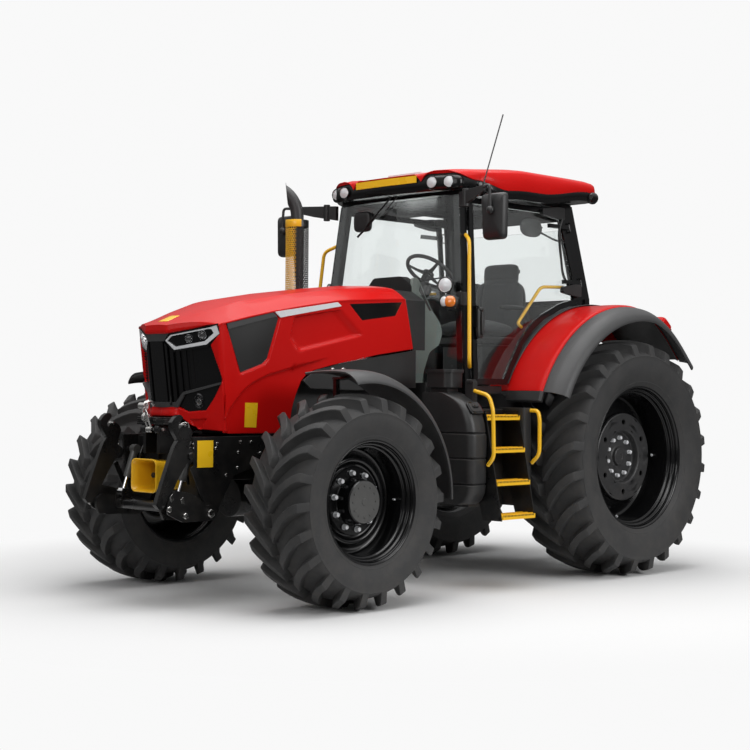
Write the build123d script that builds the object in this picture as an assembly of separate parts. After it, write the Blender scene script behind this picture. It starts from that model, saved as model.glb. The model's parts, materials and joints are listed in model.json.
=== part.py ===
from build123d import *
import os
from math import atan2, cos, degrees, hypot, radians, sin

# Farm tractor, millimetres. X to the tractor's left, Y to its rear, Z up, ground at Z = 0.
# Every place is given from the rear axle (Y = 0); save() moves the whole tractor along Y, so
# that its origin is on the ground at the middle of its length.

# ---- driving dimensions -------------------------------------------------------------------
WHEELBASE = 2950.0
FRONT_END = -3980.0
REAR_END = 1120.0
SHIFT_Y = -(FRONT_END + REAR_END) / 2

REAR_TYRE_R = 922.0
REAR_RIM_R = 533.0
REAR_WHEEL_X = 980.0
REAR_TYRE_W = 640.0
FRONT_TYRE_R = 705.0
FRONT_RIM_R = 381.0
FRONT_WHEEL_X = 1000.0
FRONT_TYRE_W = 560.0
FRONT_Y = -WHEELBASE

KINGPIN_X = 800.0
ARM_LENGTH = 200.0
TIE_ROD_Z = 650.0

FLOOR_Z = 1470.0
CAB_SIDE_X = 800.0
CAB_LEAN = 2.8
ROOF_Z = 2990.0
DOOR_THICK = 40.0
FENDER_R = 1196.0

HOOD_HINGE = (-1832.0, 2194.0)
HOOD_WALL = 15.0

LIFT_PIVOT = (-3620.0, 630.0)
HOOK_PIN = (-3920.0, 660.0)
CYLINDER_TOP = (-3700.0, 1020.0)
CYLINDER_EYE = (-3800.0, 730.0)
CYLINDER_X = 300.0

ROCKSHAFT = (200.0, 1250.0)
LINK_PIVOT = (250.0, 620.0)
LIFT_ARM = (370.0, -20.0)
LINK_END_Y = REAR_END - 45.0

SIDES = (("left", 1), ("right", -1))


# ---- shapes -------------------------------------------------------------------------------
def block(x0, x1, y0, y1, z0, z1):
    """A box between its limits."""
    return Pos((x0 + x1) / 2, (y0 + y1) / 2, (z0 + z1) / 2) * Box(x1 - x0, y1 - y0, z1 - z0)


def plate_yz(points, x0, x1):
    """A side-view outline of (y, z) corners, extruded from x0 to x1."""
    return extrude(Plane.YZ.offset(x0) * make_face(Polyline(*points, close=True)), amount=x1 - x0)


def plate_xz(points, y0, y1):
    """A front-view outline of (x, z) corners, extruded from y0 to y1."""
    return extrude(Plane.XZ.offset(-y1) * make_face(Polyline(*points, close=True)), amount=y1 - y0)


def plate_xy(points, z0, z1, taper=0):
    """A plan-view outline of (x, y) corners, extruded from z0 to z1."""
    face = Plane.XY.offset(z0) * make_face(Polyline(*points, close=True))
    return extrude(face, amount=z1 - z0, taper=taper)


def rod(start, end, radius):
    """A round bar between two points."""
    way = Vector(*end) - Vector(*start)
    base = Plane(origin=start, z_dir=way)
    return extrude(base * Circle(radius), amount=way.length)


def pipe(points, radius, bend):
    """A bent tube of straight runs and arcs, as one solid."""
    path = FilletPolyline(*points, radius=bend)
    return sweep((path ^ 0) * Circle(radius), path=path)


def turned(profile, centre, start=0.0, arc=360.0):
    """A profile of (x, r) corners turned about the axle through centre (y, z), from an angle."""
    y, z = centre
    outward = (0, -sin(radians(start)), cos(radians(start)))
    plane = Plane(origin=(0, y, z), x_dir=(1, 0, 0), z_dir=outward)
    face = plane * make_face(Polyline(*profile, close=True))
    return revolve(face, axis=Axis((0, y, z), (1, 0, 0)), revolution_arc=arc)


def band(path, thick):
    """A strip outline that follows a line of (u, v) points, thickened to its left side."""
    normals = []
    for (u0, v0), (u1, v1) in zip(path, path[1:]):
        length = hypot(u1 - u0, v1 - v0)
        normals.append(((v0 - v1) / length, (u1 - u0) / length))
    inner = []
    for index, (u, v) in enumerate(path):
        near = normals[max(index - 1, 0)], normals[min(index, len(normals) - 1)]
        nu, nv = near[0][0] + near[1][0], near[0][1] + near[1][1]
        scale = thick / (1 + near[0][0] * near[1][0] + near[0][1] * near[1][1])
        inner.append((u + nu * scale, v + nv * scale))
    return list(path) + inner[::-1]


def both(solid):
    """A left-hand solid with its right-hand twin."""
    return [solid, mirror(solid, about=Plane.YZ)]


def leaned(solid):
    """A left side piece of the cab, leaned inwards about its sill."""
    return solid.rotate(Axis((CAB_SIDE_X, 0, FLOOR_Z), (0, 1, 0)), -CAB_LEAN)


def on_side(solid, sign):
    """The left-hand solid, or its twin where the sign is negative."""
    return solid if sign > 0 else mirror(solid, about=Plane.YZ)


def save(node, *shapes):
    """One STEP file for one named node."""
    solids = [s for shape in shapes for s in shape.solids()]
    moved = [s.moved(Location((0, SHIFT_Y, 0))) for s in solids]
    export_step(moved[0] if len(moved) == 1 else Compound(children=moved), f"parts/{node}.step")


os.makedirs("parts", exist_ok=True)

# ---- wheels -------------------------------------------------------------------------------
FRONT_AXLE = (FRONT_Y, FRONT_TYRE_R)
REAR_AXLE = (0.0, REAR_TYRE_R)
# columns: name, wheel centre x, axle (y, z), tyre radius, rim seat radius, tyre width
WHEELS = (
    ("front", FRONT_WHEEL_X, FRONT_AXLE, FRONT_TYRE_R, FRONT_RIM_R, FRONT_TYRE_W),
    ("rear", REAR_WHEEL_X, REAR_AXLE, REAR_TYRE_R, REAR_RIM_R, REAR_TYRE_W),
)
# columns: x of the disc, x of the face round the hub cap, x of the cap's end, hub radius
DISCS = {"front": (1030.0, 1060.0, 1142.0, 205.0), "rear": (1035.0, 1003.0, 1020.0, 230.0)}
RIM_HALF = 240.0
FLANGE = 25.0
HUB_INNER_X = 985.0


def tyre(x, axle, radius, seat, width):
    """A tyre's closed outline, as wide at the sidewall as width, turned about its axle."""
    half = width / 2
    wall = radius - seat
    profile = [
        (-RIM_HALF + 15, seat + 1),
        (-RIM_HALF + 15, seat + FLANGE + 8),
        (-half, seat + 0.45 * wall),
        (-half + 12, seat + 0.72 * wall),
        (-half + 75, radius - 10),
        (-half + 130, radius),
        (half - 130, radius),
        (half - 75, radius - 10),
        (half - 12, seat + 0.72 * wall),
        (half, seat + 0.45 * wall),
        (RIM_HALF - 15, seat + FLANGE + 8),
        (RIM_HALF - 15, seat + 1),
    ]
    return turned([(x + u, r) for u, r in profile], axle)


def rim(x, axle, seat, disc_x, face_x, cap_x, hub_r):
    """A rim barrel with its two flanges, a dished disc and a hub."""
    barrel = [
        (x - RIM_HALF, seat - 22),
        (x - RIM_HALF, seat + FLANGE),
        (x - RIM_HALF + 12, seat + FLANGE),
        (x - RIM_HALF + 12, seat),
        (x + RIM_HALF - 12, seat),
        (x + RIM_HALF - 12, seat + FLANGE),
        (x + RIM_HALF, seat + FLANGE),
        (x + RIM_HALF, seat - 22),
        (x + RIM_HALF - 40, seat - 12),
        (x - RIM_HALF + 40, seat - 12),
    ]
    disc = [
        (disc_x, hub_r - 20),
        (disc_x, seat - 90),
        (disc_x + 40, seat - 13),
        (disc_x + 52, seat - 11),
        (disc_x + 14, seat - 90),
        (disc_x + 14, hub_r - 20),
    ]
    hub = [
        (HUB_INNER_X, 0),
        (HUB_INNER_X, hub_r - 40),
        (disc_x - 18, hub_r),
        (disc_x + 22, hub_r),
        (face_x, 0.72 * hub_r),
        (cap_x - 12, 0.66 * hub_r),
        (cap_x, 0.55 * hub_r),
        (cap_x, 0),
    ]
    return turned(barrel, axle) + turned(disc, axle) + turned(hub, axle)


for end, wheel_x, axle, radius, seat, width in WHEELS:
    for side, sign in SIDES:
        save(f"tyre_{end}_{side}", on_side(tyre(wheel_x, axle, radius, seat, width), sign))
        save(f"rim_{end}_{side}", on_side(rim(wheel_x, axle, seat, *DISCS[end]), sign))

# ---- front axle, knuckles, tie rod -----------------------------------------------------------
AXLE_Z = FRONT_TYRE_R
YOKE_GAP = 125.0
YOKE_PLATE = 38.0
YOKE_TOP = YOKE_GAP + YOKE_PLATE

beam = block(-700, 700, FRONT_Y - 85, FRONT_Y + 85, AXLE_Z - 80, AXLE_Z + 80)
beam += rod((0, FRONT_Y - 175, AXLE_Z - 25), (0, FRONT_Y + 125, AXLE_Z - 25), 135)
for sign in (1, -1):
    for low in (-YOKE_TOP, YOKE_GAP):
        ear = block(620, KINGPIN_X, FRONT_Y - 70, FRONT_Y + 70, AXLE_Z + low, AXLE_Z + low + YOKE_PLATE)
        ear += rod((KINGPIN_X, FRONT_Y, AXLE_Z + low), (KINGPIN_X, FRONT_Y, AXLE_Z + low + YOKE_PLATE), 70)
        beam += on_side(ear, sign)
    web = block(620, 700, FRONT_Y - 70, FRONT_Y + 70, AXLE_Z - YOKE_TOP, AXLE_Z + YOKE_TOP)
    beam += on_side(web, sign)
# trunnion block in which the beam rocks, bolted under the front frame
beam += block(-150, 150, FRONT_Y - 110, FRONT_Y + 110, AXLE_Z + 60, 819)
save("front_axle", beam)

knuckle = rod((KINGPIN_X, FRONT_Y, AXLE_Z - YOKE_GAP + 2), (KINGPIN_X, FRONT_Y, AXLE_Z + YOKE_GAP - 2), 74)
knuckle += rod((KINGPIN_X, FRONT_Y, AXLE_Z), (HUB_INNER_X - 2, FRONT_Y, AXLE_Z), 120)
knuckle += block(KINGPIN_X - 35, KINGPIN_X + 35, FRONT_Y, FRONT_Y + ARM_LENGTH, 585, 618)
knuckle += rod((KINGPIN_X, FRONT_Y + ARM_LENGTH, 585), (KINGPIN_X, FRONT_Y + ARM_LENGTH, 618), 35)
knuckle -= rod((KINGPIN_X, FRONT_Y + ARM_LENGTH, 580), (KINGPIN_X, FRONT_Y + ARM_LENGTH, 625), 12.05)
# arm behind the kingpin, and the post on it that carries the mudguard beside the tyre
POST_X = (665.0, 695.0)
POST_Y = (FRONT_Y + 190, FRONT_Y + 225)
knuckle += block(POST_X[0], KINGPIN_X + 100, *POST_Y, AXLE_Z - 18, AXLE_Z + 18)
knuckle += block(KINGPIN_X + 60, KINGPIN_X + 100, FRONT_Y + 60, POST_Y[1], AXLE_Z - 18, AXLE_Z + 18)
knuckle += block(*POST_X, *POST_Y, AXLE_Z - 18, 1503)
knuckle += turned(band(((POST_X[0], 833), (745, 834), (850, 847), (1000, 851)), -14), FRONT_AXLE, 74.7, 2.6)
for side, sign in SIDES:
    save(f"knuckle_{side}", on_side(knuckle, sign))

tie_rod = rod((-KINGPIN_X, FRONT_Y + ARM_LENGTH, TIE_ROD_Z), (KINGPIN_X, FRONT_Y + ARM_LENGTH, TIE_ROD_Z), 20)
for sign in (1, -1):
    x = sign * KINGPIN_X
    tie_rod += rod((x, FRONT_Y + ARM_LENGTH, 620), (x, FRONT_Y + ARM_LENGTH, 680), 32)
    tie_rod += rod((x, FRONT_Y + ARM_LENGTH, 588), (x, FRONT_Y + ARM_LENGTH, 640), 12)
save("tie_rod", tie_rod)

# mudguard over the front wheel: its (x, radius) section, from the inner to the outer edge
GUARD_LINE = ((745, 845), (850, 858), (1000, 862), (1120, 855), (1190, 830), (1230, 785))
GUARD_START, GUARD_ARC = -1.0, 101.0
guard = turned(band(GUARD_LINE, -10), FRONT_AXLE, GUARD_START, GUARD_ARC)
for side, sign in SIDES:
    save(f"front_fender_{side}", on_side(guard, sign))

# ---- frame, engine, driveline -----------------------------------------------------------------
save("front_frame", block(-290, 290, -3590, -2500, 820, 1110))
engine = block(-270, 270, -3150, -1900, 1112, 1620) + block(-230, 230, -2498, -1900, 700, 1112)
save("engine_block", engine)
gearbox = block(-250, 250, -1898, -452, 640, 1260)
gearbox += rod((0, -2770, 560), (0, -1850, 560), 30)
gearbox += block(-110, 110, -1898, -1500, 520, 660)
save("transmission", gearbox)
axle_case = block(-260, 260, -450, 300, 600, 1300)
axle_case += rod((-720, 0, REAR_TYRE_R), (720, 0, REAR_TYRE_R), 150)
axle_case += rod((-HUB_INNER_X + 2, 0, REAR_TYRE_R), (HUB_INNER_X - 2, 0, REAR_TYRE_R), 120)
axle_case += rod((0, 300, 680), (0, 330, 680), 60)
axle_case += rod((0, 330, 680), (0, 405, 680), 17.5)
axle_case += rod((-306, *ROCKSHAFT), (306, *ROCKSHAFT), 30)
save("rear_axle", axle_case)

# ---- hood and the cowl behind it ------------------------------------------------------------
# columns: y, side crease z (at SIDE_X), inner crease x and z, centre top z
SIDE_X = 435.0
HOOD_SECTIONS = (
    (-3850, 1770, 100, 1795, 1798),
    (-3768, 1788, 118, 1800, 1803),
    (-3738, 1803, 125, 1853, 1858),
    (-3515, 1874, 195, 1948, 1965),
    (-3250, 1934, 260, 2028, 2052),
    (-2850, 2010, 300, 2097, 2115),
    (-2450, 2070, 310, 2145, 2165),
    (-2130, 2092, 310, 2175, 2200),
    (-1850, 2108, 305, 2190, 2215),
    (-1590, 2110, 300, 2185, 2210),
)
# plan outline, left half, at the height PLAN_Z: the nose's flat, its flank and the side
PLAN_Z = 1780.0
NOSE_RAKE = 0.13
NOSE = ((110, -3765), (400, -3563))
SIDE = ((433, -3480), (440, -2600), (447, -1580))
HOOD_BOTTOM = 1130.0
HOOD_TOP = 2300.0


def hood_plan(inset, z):
    """The hood's plan at a height, drawn in by inset. Its nose leans back downwards."""
    lean = NOSE_RAKE * (PLAN_Z - z)
    half = [(x - 0.6 * inset, y + lean + inset) for x, y in NOSE] + [(x - inset, y) for x, y in SIDE]
    return Plane.XY.offset(z) * make_face(Polyline(*half, *[(-x, y) for x, y in half[::-1]], close=True))


def hood_form(inset, low):
    """The hood's outer form, drawn in by inset all round, down to the height low."""
    slices = []
    for y, side_z, crease_x, crease_z, top_z in HOOD_SECTIONS:
        outer_z = side_z - 0.35 * (600 - SIDE_X)
        half = [(600, low - 1), (600, outer_z), (SIDE_X, side_z), (crease_x, crease_z), (0, top_z)]
        line = [(x, z if z < low else z - inset) for x, z in half]
        corners = line + [(-x, z) for x, z in line[-2::-1]]
        slices.append(Plane.XZ.offset(-y) * make_face(Polyline(*corners, close=True)))
    upright = loft([hood_plan(inset, low), hood_plan(inset, HOOD_TOP)], ruled=True)
    return upright & loft(slices, ruled=True)


# side-view line of the hood's rear edge, from the bottom up
REAR_EDGE = ((-1734, 1730), (-1832, 2128), (-1812, 2200), (-1808, 2300))
# side-view line of the hood's lower edge, from the wheel arch back to the rear edge
LOWER_EDGE = ((-2925, 1130), (-2890, 1327), (-2821, 1498), (-2705, 1572), (-2373, 1639), (-1734, 1730))
skin = hood_form(0, HOOD_BOTTOM)
skin -= hood_form(HOOD_WALL, HOOD_BOTTOM - 20)
hood = skin - plate_yz([(-2925, 1000), *LOWER_EDGE, (-1500, 1730), (-1500, 1000)], -700, 700)
hood -= plate_yz([*REAR_EDGE, (-1500, 2300), (-1500, 1730)], -700, 700)
hood -= plate_yz([(-4000, 1000), (-3520, 1000), (-3560, 1183), (-3700, 1235), (-4000, 1235)], -700, 700)
GRILLE_ZONE = plate_yz([(-4000, 1345), (-3400, 1345), (-3450, 1700), (-4000, 1700)], -330, 330)
grille = (hood_form(3, 1200) - hood_form(40, 1150)) & GRILLE_ZONE
hood -= GRILLE_ZONE
hood = hood.solids().sort_by(SortBy.VOLUME)[-1]
hood += rod((-180, *HOOD_HINGE), (180, *HOOD_HINGE), 6)
save("hood_shell", hood)
save("grille", grille.solids().sort_by(SortBy.VOLUME)[-1])

# fixed cowl between the hood and the cab, and the panels under the hood's rear edge
COWL_GAP = 12.0
cowl = hood_form(12, 1400) - hood_form(27, 1380)
cowl &= plate_yz([(y + COWL_GAP, z) for y, z in REAR_EDGE] + [(-1600, 2300), (-1600, 1730)], -700, 700)
PANEL = [(y, z - 6) for y, z in LOWER_EDGE[2:]]
PANEL += [(-1690, 1715), (-1690, 1450), (-2300, 1430), (-2750, 1440)]
panels = plate_yz(PANEL, 412, 428)
panels += block(271, 414, -2400, -2340, 1500, 1540) + block(271, 414, -2150, -2090, 1500, 1540)
panels += block(412, 428, -1730, -1690, 1700, 1740)
cowl_and_panels = cowl + panels + mirror(panels, about=Plane.YZ)
# notch for the exhaust elbow
cowl_and_panels -= block(-440, -400, -2005, -1925, 1535, 1610)
save("engine_cowl", cowl_and_panels)

# ---- cab ----------------------------------------------------------------------------------
floor = block(-610, 610, -1545, -60, FLOOR_Z - 60, FLOOR_Z)
floor += block(-780, 780, -1485, -1120, FLOOR_Z - 60, FLOOR_Z)
floor += block(-440, 440, -1600, -1545, 1265, 1490)
floor += block(-610, 610, -110, -60, FLOOR_Z, 2130)
floor += block(-230, 230, -1500, -500, 1300, FLOOR_Z)
arch_wall = [(-1100, FLOOR_Z - 60), (-1050, FLOOR_Z)]
arch_wall += [(-1160 * cos(radians(a)), REAR_TYRE_R + 1160 * sin(radians(a))) for a in range(30, 90, 10)]
arch_wall += [(-60, 2080), (-60, FLOOR_Z - 60)]
for sign in (1, -1):
    floor += on_side(plate_yz(arch_wall, 590, 610), sign)
save("cab_floor", floor)

# posts as (y, z) outlines; the front ones are upright and the rear ones rake forward
FRONT_POST = [(-1550, FLOOR_Z - 60), (-1488, FLOOR_Z - 60), (-1488, 2925), (-1550, 2925)]
REAR_POST = [(-190, 2125), (-30, 2125), (-30, 2180), (-240, 2925), (-365, 2925), (-190, 2240)]
posts = leaned(plate_yz(FRONT_POST, CAB_SIDE_X - 80, CAB_SIDE_X - 4))
posts += leaned(plate_yz(REAR_POST, CAB_SIDE_X - 80, CAB_SIDE_X - 4))
# door hinges: ears above and below each hinge barrel of the door
HINGE_X = CAB_SIDE_X + 40.0
HINGE_Z = (2300.0, 2740.0)


def hinge_y(z):
    """Where the door's hinge line, which rakes with the rear post, is at a height."""
    return -180.0 - (z - 2246.0) * 173.0 / 634.0


for z in HINGE_Z:
    y = hinge_y(z)
    for low in (z - 40, z + 32):
        posts += leaned(block(CAB_SIDE_X - 6, HINGE_X + 10, y - 3, y + 14, low, low + 8))
posts += block(640, 712, -1550, -240, 2905, 2945)
frame = posts + mirror(posts, about=Plane.YZ)
frame += block(-700, 700, -1550, -1488, 2905, 2945)
frame += block(-700, 700, -330, -240, 2905, 2945)
frame += block(-780, 780, -110, -58, 2132, 2175)
save("cab_frame", frame)

SCREEN = [(-780, 1500), (780, 1500), (725, 2895), (-725, 2895)]
save("windscreen", plate_xz(SCREEN, -1562, -1552))

# roof outline, left half, from the front of the middle back to the rear
ROOF_HALF = ((450, -1600), (660, -1510), (775, -1330), (815, -1000), (815, -160), (760, -50))
roof_outline = [(0, -1630), *ROOF_HALF, (0, -35)] + [(-x, y) for x, y in ROOF_HALF[::-1]]
save("roof_base", plate_xy(roof_outline, 2946, ROOF_Z))
roof = plate_xy(roof_outline, ROOF_Z, 3055)
roof += plate_xy(roof_outline, 3055, 3112, taper=40)
save("roof_shell", roof)

dash = plate_yz([(-1543, FLOOR_Z), (-1330, FLOOR_Z), (-1250, 2180), (-1300, 2260), (-1543, 2200)], -250, 250)
COLUMN_FOOT = (-1330.0, 2050.0)
WHEEL_CENTRE = (-1085.0, 2370.0)
column_way = (WHEEL_CENTRE[0] - COLUMN_FOOT[0], WHEEL_CENTRE[1] - COLUMN_FOOT[1])
column_length = hypot(*column_way)
column_dir = (column_way[0] / column_length, column_way[1] / column_length)


def on_column(distance):
    """A point of the steering column's axis, at a distance below the wheel's centre."""
    return (0, WHEEL_CENTRE[0] - distance * column_dir[0], WHEEL_CENTRE[1] - distance * column_dir[1])


dash += rod(on_column(column_length), on_column(42), 38)
save("dashboard", dash)

wheel_plane = Plane(origin=on_column(0), x_dir=(1, 0, 0), z_dir=(0, *column_dir))
steering = wheel_plane * Torus(190, 16)
steering += wheel_plane * Pos(0, 0, -25) * Cylinder(48, 30)
for turn in (90, 210, 330):
    steering += wheel_plane * Rot(0, 0, turn) * Pos(110, 0, -14) * Box(150, 28, 14)
save("steering_wheel", steering)

save("seat_base", block(-210, 210, -700, -260, FLOOR_Z, 1800) + block(-250, 250, -760, -260, 1800, 1868))
save("seat_cushion", block(-255, 255, -800, -290, 1870, 1985))
back = plate_yz([(-288, 1880), (-170, 1880), (-150, 2320), (-175, 2470), (-235, 2470), (-240, 2320)], -235, 235)
save("seat_backrest", back)
save("side_console", plate_yz([(-900, 1980), (-330, 1980), (-330, 2150), (-760, 2190), (-900, 2150)], -430, -275)
     + block(-430, -275, -700, -330, FLOOR_Z, 1980))

# ---- doors and rear window ------------------------------------------------------------------
DOOR_GAP = 8.0
ARC_R = FENDER_R + 34.0
arch = [(ARC_R * cos(radians(a)), REAR_TYRE_R + ARC_R * sin(radians(a))) for a in (146, 135, 127, 120, 110, 101)]
DOOR = [(-1480, 1478), (-1112, 1478), *arch, (-198, 2246), (-371, 2880), (-1480, 2880)]
door_solid = plate_yz(DOOR, CAB_SIDE_X - 2, CAB_SIDE_X + 22)
pane = offset(Plane.YZ.offset(CAB_SIDE_X) * make_face(Polyline(*DOOR, close=True)), amount=-45)
pane_solid = extrude(pane, amount=8)
opening = offset(Plane.YZ.offset(CAB_SIDE_X - 30) * make_face(Polyline(*DOOR, close=True)), amount=-45)
door_frame = door_solid - extrude(opening, amount=80)
for z in HINGE_Z:
    y = hinge_y(z)
    door_frame += block(CAB_SIDE_X + 20, HINGE_X + 8, y - 200, y, z - 16, z + 16)
    door_frame += rod((HINGE_X, hinge_y(z - 27), z - 27), (HINGE_X, hinge_y(z + 27), z + 27), 11)
door_frame += block(CAB_SIDE_X + 22, CAB_SIDE_X + 60, -1470, -1445, 1900, 2060)
for side, sign in SIDES:
    save(f"door_{side}", on_side(leaned(door_frame), sign))
    save(f"door_glass_{side}", on_side(leaned(pane_solid), sign))

REAR_PANE = [(-560, 2190), (560, 2190), (560, 2880), (-560, 2880)]
rear_window = plate_xz(REAR_PANE, -30, -12)
for x in (-320, 320):
    rear_window += block(x - 20, x + 20, -29, -13, 2860, 2922)
    rear_window += rod((x - 40, -21, 2925), (x + 40, -21, 2925), 12)
RAKE = degrees(atan2(2925 - 2180, 240 - 30)) - 90
save("rear_window", rear_window.rotate(Axis((0, -30, 2180), (1, 0, 0)), -RAKE))

# ---- rear fenders -------------------------------------------------------------------------
# the (x, radius) sections of the red arch and of the black lip outside it
FENDER_START, FENDER_ARC = 45.0, 109.5
FENDER_LINE = ((612, 1193), (800, FENDER_R), (1000, 1198), (1110, 1192), (1130, 1181))
LIP_LINE = ((1132, 1180), (1220, 1160), (1288, 1112), (1300, 1075))
fender = turned(band(FENDER_LINE, -10), REAR_AXLE, FENDER_START, FENDER_ARC)
fender_wall = turned([(612, 990), (620, 990), (620, 1185), (612, 1185)], REAR_AXLE, 60, 55)
lip = turned(band(LIP_LINE, -10), REAR_AXLE, FENDER_START, FENDER_ARC)
save("rear_fenders", *both(fender + fender_wall))
save("fender_lips", *both(lip))

# ---- tanks, steps, rails ------------------------------------------------------------------
# the tank in front of the steps, as an (x, z) outline whose shoulder leans inwards
TANK = [(600, 620), (1035, 620), (1080, 690), (1080, 1120), (1050, 1200), (880, 1400), (840, 1420), (600, 1420)]
TANK_Y = (-1800.0, -1606.0)
CHEST = (-1222.0, -1130.0)
tank = plate_xz(TANK, *TANK_Y) + block(600, 880, TANK_Y[1], CHEST[0], 640, 1300)
tank += block(600, 1080, *CHEST, 660, 1310) + block(620, 820, -1790, -1650, 1420, 1550)
tank += block(252, 600, -1780, -1720, 900, 1000) + block(252, 600, -1200, -1140, 900, 1000)
save("fuel_tank", tank)
save("battery_box", mirror(tank, about=Plane.YZ))

# columns: tread height, outer edge x
TREADS = ((530, 1200), (770, 1150), (1003, 1100), (1237, 1050))
TREAD_Y = (-1596.0, -1232.0)
TREAD_DEPTH = 170.0
SIDE_PLATE = [(882, 1290), (1035, 1290), (1110, 930), (1195, 505), (1020, 505), (960, 700), (882, 900)]
treads = [block(max(x - TREAD_DEPTH, 884), x, *TREAD_Y, z - 16, z + 16) for z, x in TREADS]
plates = [plate_xz(SIDE_PLATE, y, y + 8) for y in (TREAD_Y[0] - 8, TREAD_Y[1])]
ladder = plates[0] + plates[1] + block(882, 883, TREAD_Y[0] - 8, TREAD_Y[1] + 8, 900, 1290)
# rails: the line of each, on the left side
RAILS = (
    [(930, -1640, 1385), (930, -1640, 1440), (1100, -1640, 1400), (1140, -1640, 1300), (1150, -1640, 960), (1093, -1640, 900)],
    [(1081, -1145, 1290), (1150, -1145, 1290), (1165, -1145, 1230), (1165, -1145, 970), (1093, -1145, 905)],
    [(808, -1520, 1610), (860, -1580, 1640), (860, -1580, 2540), (762, -1520, 2590)],
)
steps = []
for sign in (1, -1):
    steps += [on_side(tread, sign) for tread in treads]
    steps += [on_side(pipe(line, 14, 30), sign) for line in RAILS]
save("steps_and_rails", *steps)
save("ladder_frames", *both(ladder))

# ---- exhaust, mirrors, antenna --------------------------------------------------------------
STACK = (-620.0, -1965.0)
can = rod((*STACK, 1545), (*STACK, 2100), 78) + block(-700, -270, -1995, -1935, 1545, 1600)
can += pipe([(*STACK, 2100), (*STACK, 2840), (STACK[0] - 50, STACK[1], 2960), (STACK[0] - 130, STACK[1], 3040)], 44, 60)
save("exhaust_pipe", can)
shield = rod((*STACK, 2110), (*STACK, 2745), 92) - rod((*STACK, 2100), (*STACK, 2760), 80)
shield += (rod((*STACK, 2730), (*STACK, 2745), 85) + rod((*STACK, 2110), (*STACK, 2125), 85))
shield -= rod((*STACK, 2050), (*STACK, 2800), 44.3)
save("exhaust_shield", shield)

mirror_arm = pipe([(752, -1520, 2740), (860, -1640, 2860), (1120, -1660, 2850), (1140, -1660, 2740)], 16, 30)
mirror_arm += plate_xz([(1040, 2515), (1262, 2515), (1270, 2850), (1045, 2850)], -1690, -1630)
save("mirrors", *both(mirror_arm))

ANTENNA_X = 812.0
antenna = rod((ANTENNA_X, -1385, 2960), (ANTENNA_X, -1165, 3505), 5)
antenna += block(770, 830, -1405, -1365, 2925, 2944)
antenna += rod((ANTENNA_X, -1385, 2930), (ANTENNA_X, -1378, 2975), 12)
save("antenna", antenna)

# ---- front linkage ------------------------------------------------------------------------
PLATE = [(-3750, 1118), (-3100, 1118), (-3100, 940), (-3400, 860), (-3570, 580), (-3665, 575), (-3700, 700)]
plate = plate_yz(PLATE, 372, 392)
plate += block(290, 374, -3560, -3120, 960, 1100)
plate -= rod((360, *LIFT_PIVOT), (400, *LIFT_PIVOT), 25.05)
hitch = plate + mirror(plate, about=Plane.YZ)
hitch += block(-372, 372, -3618, -3590, 720, 1110)
hitch += block(-90, -60, -3790, -3600, 1000, 1185) + block(60, 90, -3790, -3600, 1000, 1185)
hitch += rod((0, -3620, 855), (0, -3700, 855), 55) + rod((0, -3700, 855), (0, -3775, 855), 17.5)
for sign in (1, -1):
    hitch += rod((sign * 328, *CYLINDER_TOP), (sign * 374, *CYLINDER_TOP), 16)
save("front_hitch_frame", hitch)
guard_box = block(-130, 130, -3840, -3619, 750, 960) - block(-122, 122, -3845, -3600, 758, 952)
save("pto_guard", guard_box)

ARM_PLATE = [(-3570, 590), (-3660, 570), (-3960, 590), (-3980, 640), (-3980, 690), (-3940, 720), (-3560, 680)]
arms = plate_yz(ARM_PLATE, 344, 368)
arms += rod((344, *LIFT_PIVOT), (412, *LIFT_PIVOT), 25)
arms += rod((392.5, *LIFT_PIVOT), (412, *LIFT_PIVOT), 42)
arms += plate_yz([(-3840, 640), (-3760, 640), (-3775, 755), (-3825, 755)], CYLINDER_X - 40, CYLINDER_X - 30)
arms += plate_yz([(-3840, 640), (-3760, 640), (-3775, 755), (-3825, 755)], CYLINDER_X + 30, CYLINDER_X + 40)
arms += rod((CYLINDER_X - 40, *CYLINDER_EYE), (CYLINDER_X + 40, *CYLINDER_EYE), 12)
arms += rod((368, *HOOK_PIN), (416, *HOOK_PIN), 18)
lift = arms + mirror(arms, about=Plane.YZ) + rod((-350, -3800, 655), (350, -3800, 655), 36)
save("front_lift_arms", lift)

HOOK = [
    (-3975, 620),
    (-3890, 600),
    (-3860, 640),
    (-3800, 1150),
    (-3790, 1290),
    (-3815, 1290),
    (-3835, 1190),
    (-3875, 1190),
    (-3880, 1255),
    (-3905, 1250),
    (-3905, 1150),
]
hook = plate_yz(HOOK, 372, 408) - rod((360, *HOOK_PIN), (420, *HOOK_PIN), 18.05)
for side, sign in SIDES:
    save(f"front_hook_{side}", on_side(hook, sign))

cyl_way = (CYLINDER_EYE[0] - CYLINDER_TOP[0], CYLINDER_EYE[1] - CYLINDER_TOP[1])
cyl_length = hypot(*cyl_way)
cyl_dir = (cyl_way[0] / cyl_length, cyl_way[1] / cyl_length)


def on_cylinder(distance):
    """A point of the front cylinder's axis, at a distance from its upper pin."""
    return (CYLINDER_X, CYLINDER_TOP[0] + distance * cyl_dir[0], CYLINDER_TOP[1] + distance * cyl_dir[1])


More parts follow.
